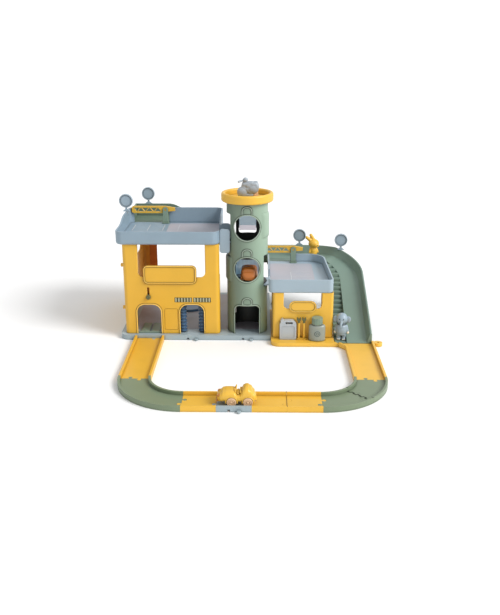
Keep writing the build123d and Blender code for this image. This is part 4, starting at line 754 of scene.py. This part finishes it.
def smooth_stations(keys, count):
    """Samples a table of (x, values...) with smooth interpolation."""
    out = []
    for i in range(count):
        x = keys[0][0] + (keys[-1][0] - keys[0][0]) * i / (count - 1)
        k = max(j for j in range(len(keys) - 1) if keys[j][0] <= x + 1e-9)
        t = (x - keys[k][0]) / (keys[k + 1][0] - keys[k][0])
        t = t * t * (3 - 2 * t)
        out.append([x] + [a + (b - a) * t for a, b in zip(keys[k][1:], keys[k + 1][1:])])
    return out


WHEEL_R = 11.5
AXLES = (-12.2, 27.2)
# the body along its length: x, half width, lower edge, upper edge
body_keys = [
    (-47.5, 8, 13, 20),
    (-46, 16, 11, 25),
    (-42.5, 20, 10, 28.5),
    (-38, 22, 10, 32.5),
    (-32, 22.8, 10, 37),
    (-24, 23, 10, 38.5),
    (-14, 23, 10, 38.5),
    (-6, 23, 10, 37.5),
    (-2, 22.8, 10, 34),
    (1, 22.5, 10, 29),
    (8, 22.5, 10, 29.5),
    (12, 22.6, 10, 36),
    (17, 22.6, 10, 44),
    (22, 22.4, 10, 47),
    (27, 22.2, 10, 47),
    (34, 21.5, 10, 43),
    (41, 20, 10, 34),
    (45.5, 16, 11, 26),
    (47.5, 8, 14, 20),
]


def toy_car(name, place, body, paint_name, car_node):
    """Round car body with trim and lamps; the body stands for a carried node."""
    shell = Pile()
    shell.loops([superloop(x, half, lo, hi) for x, half, lo, hi in smooth_stations(body_keys, 97)])
    obj = shell.make(f"{name}_shell", sharp=50)
    arches = Pile()
    for x in AXLES:
        for side in (-1, 1):
            outward = Matrix.Rotation(math.radians(-90 * side), 4, "X")
            disc = Matrix.Translation((x, side * 14, WHEEL_R)) @ outward
            arches.lathe([(13.2, 0), (13.2, 14)], disc, 48)
    carve(obj, arches.make("arches"))
    trim = Pile()
    # fenders over the wheels, windscreen, seat backs, bumpers and lamps
    for x in AXLES:
        for side in (-1, 1):
            loops = []
            for i in range(25):
                a = math.radians(200 * i / 24 - 10)
                loops.append(
                    [
                        (
                            x + (13.6 + 1.7 * c) * math.cos(a),
                            side * (21.4 + 1.9 * s),
                            WHEEL_R + (13.6 + 1.7 * c) * math.sin(a),
                        )
                        for c, s in circle(10)
                    ]
                )
            trim.loops(loops)
    for side in (-1, 1):
        trim.rod((-3, side * 14, 35), (-0.5, side * 12, 42), 1.4)
    trim.rod((-0.5, -12, 42), (-0.5, 12, 42), 1.4)
    trim.ball((4, 0, 30), (5.0, 16, 3.0))
    trim.rod((10.5, -12, 34), (10.5, 12, 34), 3.2)
    trim.rod((46.2, -10, 13), (46.2, 10, 13), 2.0)
    trim_obj = trim.make(f"{name}_trim")
    lamps = Pile()
    for side in (-1, 1):
        lamps.ball((-41.5, side * 13.5, 25.5), (5.0, 5.4, 5.0))
    lamps.rod((-46.5, -15, 13.5), (-46.5, 15, 13.5), 3.2)
    lamps_obj = lamps.make(f"{name}_lamps")
    for o in (obj, trim_obj, lamps_obj):
        settle(o, place)
        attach(o, body)
    paint(obj, plastic(paint_name, 0.36, 0.0))
    paint(trim_obj, plastic(paint_name, 0.36, 0.0))
    paint(lamps_obj, plastic("lamp_orange", 0.3, 0.0))
    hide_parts(car_node)


def toy_wheels(name, place, body, node):
    """Two turned wheels on their axle, which stand for a carried node."""
    pile = Pile()
    # radius, distance from the wheel's inner face
    profile = [
        (0.01, 0), (10.2, 0), (11.5, 1.2), (11.5, 7.8), (10.6, 9.0), (9.2, 9.2), (8.6, 8.2), (7.4, 8.2),
        (6.8, 9.0), (5.6, 9.0), (5.0, 8.0), (3.6, 8.0), (3.0, 9.2), (1.2, 9.6), (0.01, 9.6),
    ]
    for side in (-1, 1):
        outward = Matrix.Translation((0, side * 15.2, 0)) @ Matrix.Rotation(math.radians(-90 * side), 4, "X")
        pile.lathe(profile, outward, 56)
    pile.rod((0, -15.5, 0), (0, 15.5, 0), 1.9, round_ends=False)
    obj = pile.make(name, sharp=28)
    settle(obj, place)
    paint(obj, plastic("beige_plastic", 0.5, 0.0))
    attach(obj, body)
    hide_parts(node)


car_place = at(-18, -494.5, 6.3)
lift_place = at(5, -1, 167.3, -90)
toy_car("car", car_place, "car", "yellow_plastic", "car_body")
toy_car("lift_car", lift_place, "lift", "orange_plastic", "lift_car_body")
for which, place, bodies in (
    ("car", car_place, ("car_front_axle", "car_rear_axle")),
    ("lift_car", lift_place, ("lift_car_front_axle", "lift_car_rear_axle")),
):
    for end, x, body in zip(("front", "rear"), AXLES, bodies):
        spot = place @ Matrix.Translation((x, 0, WHEEL_R))
        toy_wheels(f"{which}_{end}_rims", spot, body, f"{which}_{end}_wheels")


# ---------------------------------------------------------------- scooter and its wheels
scooter = Pile()
scooter.ball((-14, 0, 428), (15.5, 9.5, 15))
scooter.ball((-22, 0, 421), (6, 7, 6))
scooter.rod((-16, 0, 432), (-9, 0, 455), 6.0, 4.2)
scooter.rod((-22, -12, 459), (-2, 10, 462), 2.6)
scooter.rod((-24, -15, 459), (-17, -8, 460), 3.2)
scooter.ball((-5, -2, 463), (7.5, 6.5, 6.4))
scooter.ball((3, 0, 447), (13, 8.5, 10.5))
scooter.rod((-9, 0, 449), (12, 0, 452), 7.5)
scooter.rod((-9, 0, 420), (14, 0, 419), 5.5)
scooter.rod((-10, 0, 440), (10, 0, 428), 6.5, 7.5)
scooter.ball((2, 0, 436), (12, 7.5, 9))
scooter.ball((16, 0, 437), (17, 10.5, 15))
scooter.ball((18, 0, 449), (15, 8.5, 7.5))
scooter.ball((26, 0, 442), (8, 8.5, 12))
scooter.rod((6, 0, 452), (26, 0, 455), 4.5)
body_obj = merged(scooter, "scooter_shell")
gap = Pile()
for x in (-15, 22):
    across = Matrix.Translation((x, -3.7, 420.8)) @ Matrix.Rotation(math.radians(-90), 4, "X")
    gap.lathe([(10.3, 0), (10.3, 7.4)], across, 48)
carve(body_obj, gap.make("wheel_wells"))
paint(body_obj, plastic("scooter_grey", 0.35, 0.0))
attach(body_obj, "garage")
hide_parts("scooter_body")
paint(nodes["scooter_rear_wheel"], plastic("beige_plastic"))


# ---------------------------------------------------------------- elephant and rabbit
def figure(pile, name, place, material, node):
    """Melted body that stands for a carried node."""
    obj = merged(pile, name)
    settle(obj, place)
    paint(obj, material)
    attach(obj, "garage")
    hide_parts(node)


def small(pile, name, place, material):
    """Small piece set on a figure."""
    obj = pile.make(name)
    settle(obj, place)
    paint(obj, material)
    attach(obj, "garage")


elephant_at = at(275.5, -73, 8, -10) @ Matrix.Scale(0.93, 4)
elephant = Pile()
for side in (-1, 1):
    elephant.rod((side * 8.2, 0, 8), (side * 8.2, 0, 24), 7.2, 7.6)
    elephant.ball((side * 8.2, -2.5, 4.2), (7.4, 9.0, 4.4))
    elephant.rod((side * 14.5, 0, 45), (side * 19.0, -2.5, 30), 4.8, 4.4)
    elephant.ball((side * 19.6, 2, 66), (8.5, 3.4, 11.5))
elephant.lathe(
    [
        (0.1, 17), (14.5, 17.5), (15.4, 24), (15.8, 24.5), (17.4, 27),
        (17.8, 36), (16.6, 46), (12.5, 52), (9, 55), (0.1, 56),
    ]
)
elephant.ball((0, -1.5, 68), (17.0, 16.0, 16.5))
elephant.ball((0, 1.0, 75), (15.5, 15.0, 12.0))
elephant.rod((0, -14, 64), (-1, -20, 56), 5.0, 4.2)
elephant.rod((-1, -20, 56), (-2, -21.5, 47), 4.2, 3.4)
elephant_paint = plastic("blue_grey_plastic", 0.4, 0.0)
figure(elephant, "elephant_shape", elephant_at, elephant_paint, "elephant_figure")
pale = Pile()
for side in (-1, 1):
    pale.ball((side * 19.6, -3.0, 25.5), (4.6, 4.6, 5.0))
    for toe in (-3.6, 0, 3.6):
        pale.ball((side * 8.2 + toe, -10.4, 3.2), (1.9, 1.6, 2.2))
small(pale, "elephant_hands_and_toes", elephant_at, plastic("cream", 0.4, 0.0))
dark = Pile()
for side in (-1, 1):
    dark.ball((side * 6.2, -16.4, 71), (1.7, 1.2, 2.0))
# the collar
loops = []
for i in range(37):
    a = 2 * math.pi * i / 36
    loop = [(14.3 + 1.3 * c, 13.6 + 1.3 * c, 52.4 + 1.1 * s) for c, s in circle(8)]
    loops.append([(rx * math.cos(a), ry * math.sin(a), z) for rx, ry, z in loop])
dark.loops(loops)
small(dark, "elephant_eyes_and_collar", elephant_at, plastic("dark", 0.4, 0.0))

rabbit_at = at(211, 268, 164, 14)
rabbit = Pile()
for side in (-1, 1):
    rabbit.ball((side * 6.5, -2.5, 4.2), (6.2, 8.4, 4.4))
    rabbit.rod((side * 6.5, 0, 6), (side * 6.5, 0, 14), 5.6)
    rabbit.rod((side * 10.5, -2, 28), (side * 14.0, -6, 18), 3.6, 3.2)
rabbit.lathe([(0.1, 9), (11.5, 10), (13.4, 14), (13.2, 24), (10.4, 33), (0.1, 36)])
rabbit.ball((1, -1, 46), (17.5, 15.5, 14.5))
rabbit.ball((6, -12.0, 42), (9.5, 7.5, 7.4))
rabbit.rod((-7, 1, 54), (-22, 2, 66), 6.4, 5.2)
rabbit.rod((1, 2, 57), (-8, 3, 73), 6.4, 5.2)
rabbit_paint = plastic("yellow_plastic", 0.4, 0.0)
figure(rabbit, "rabbit_shape", rabbit_at, rabbit_paint, "rabbit_figure")
dark = Pile()
dark.ball((1.0, -15.3, 47), (1.6, 1.1, 2.0))
dark.ball((11.6, -12.4, 47), (1.6, 1.4, 2.0))
dark.ball((8, -18.6, 43.4), (1.9, 1.2, 1.5))
small(dark, "rabbit_eyes_and_nose", rabbit_at, plastic("dark", 0.4, 0.0))

# ring emblem on the oil can
emblem = Pile()
for ring, fat in ((7.5, 1.0), (3.2, 0.9)):
    loops = []
    for i in range(41):
        a = 2 * math.pi * i / 40
        loops.append(
            [
                (
                    203 + (ring + fat * c) * math.cos(a),
                    -103.8 + fat * 0.8 * s + 0.013 * (ring * math.cos(a)) ** 2,
                    35 + (ring + fat * c) * math.sin(a),
                )
                for c, s in circle(8)
            ]
        )
    emblem.loops(loops)
emblem_obj = emblem.make("oil_can_emblem")
paint(emblem_obj, plastic("emblem", 0.4, 0.0))
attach(emblem_obj, "garage")

# ---------------------------------------------------------------- stage, light and camera
FLOOR_HALF, FLOOR_WHITE = 6, 0.97
SKY_LEFT, SKY_RIGHT, SKY_SEEN = 0.52, 0.86, 1.05  # studio light from both sides, and the white that is seen
SUN_AIM, SUN_STRENGTH, SUN_SPREAD = (-1.15, 0.55, -0.95), 2.5, 28
CAMERA_AT, CAMERA_TILT, CAMERA_TURN = (0.036, -2.179, 0.830), 71, 0.744  # fitted to the photo, in degrees
LENS, SENSOR = 45.07, 36

floor_data = bpy.data.meshes.new("floor")
floor_corners = [(x * FLOOR_HALF, y * FLOOR_HALF, 0) for x, y in ((-1, -1), (1, -1), (1, 1), (-1, 1))]
floor_data.from_pydata(floor_corners, [], [[0, 1, 2, 3]])
floor = bpy.data.objects.new("floor", floor_data)
bpy.context.scene.collection.objects.link(floor)
white = bpy.data.materials.new("white_floor")
white.use_nodes = True
white_shader = white.node_tree.nodes["Principled BSDF"]
white_shader.inputs["Base Color"].default_value = (FLOOR_WHITE, FLOOR_WHITE, FLOOR_WHITE, 1)
white_shader.inputs["Roughness"].default_value = 0.9
white_shader.inputs["Specular IOR Level"].default_value = 0.1
floor.data.materials.append(white)

# the studio is a little brighter on the right, and plain white where it is seen
world = bpy.data.worlds.new("studio")
bpy.context.scene.world = world
world.use_nodes = True
sky = world.node_tree
background = sky.nodes["Background"]
background.inputs["Color"].default_value = (1.0, 1.0, 1.0, 1)
facing = add_node(sky, "TexCoord")
apart = add_node(sky, "SeparateXYZ")
sky.links.new(facing.outputs["Generated"], apart.inputs[0])
sky.links.new(mapped(sky, apart.outputs["X"], -1.0, 1.0, SKY_LEFT, SKY_RIGHT), background.inputs["Strength"])
seen = add_node(sky, "Background", {"Color": (1, 1, 1, 1), "Strength": SKY_SEEN})
path = add_node(sky, "LightPath")
mix = add_node(sky, "MixShader")
either = path.outputs["Is Camera Ray"]
for ray in ("Is Glossy Ray", "Is Transmission Ray"):
    widest = add_node(sky, "Math", operation="MAXIMUM")
    sky.links.new(either, widest.inputs[0])
    sky.links.new(path.outputs[ray], widest.inputs[1])
    either = widest.outputs[0]
sky.links.new(either, mix.inputs["Fac"])
sky.links.new(background.outputs["Background"], mix.inputs[1])
sky.links.new(seen.outputs["Background"], mix.inputs[2])
sky.links.new(mix.outputs["Shader"], sky.nodes["World Output"].inputs["Surface"])

key_data = bpy.data.lights.new("key", "SUN")
key_data.energy = SUN_STRENGTH
key_data.angle = math.radians(SUN_SPREAD)
key_light = bpy.data.objects.new("key", key_data)
bpy.context.scene.collection.objects.link(key_light)
key_light.rotation_euler = Vector(SUN_AIM).to_track_quat("-Z", "Y").to_euler()

camera_data = bpy.data.cameras.new("camera")
camera_data.lens = LENS
camera_data.sensor_width = SENSOR
camera = bpy.data.objects.new("camera", camera_data)
bpy.context.scene.collection.objects.link(camera)
camera.location = CAMERA_AT
camera.rotation_euler = (math.radians(CAMERA_TILT), 0, math.radians(CAMERA_TURN))
bpy.context.scene.camera = camera
bpy.context.scene.view_settings.view_transform = "Standard"
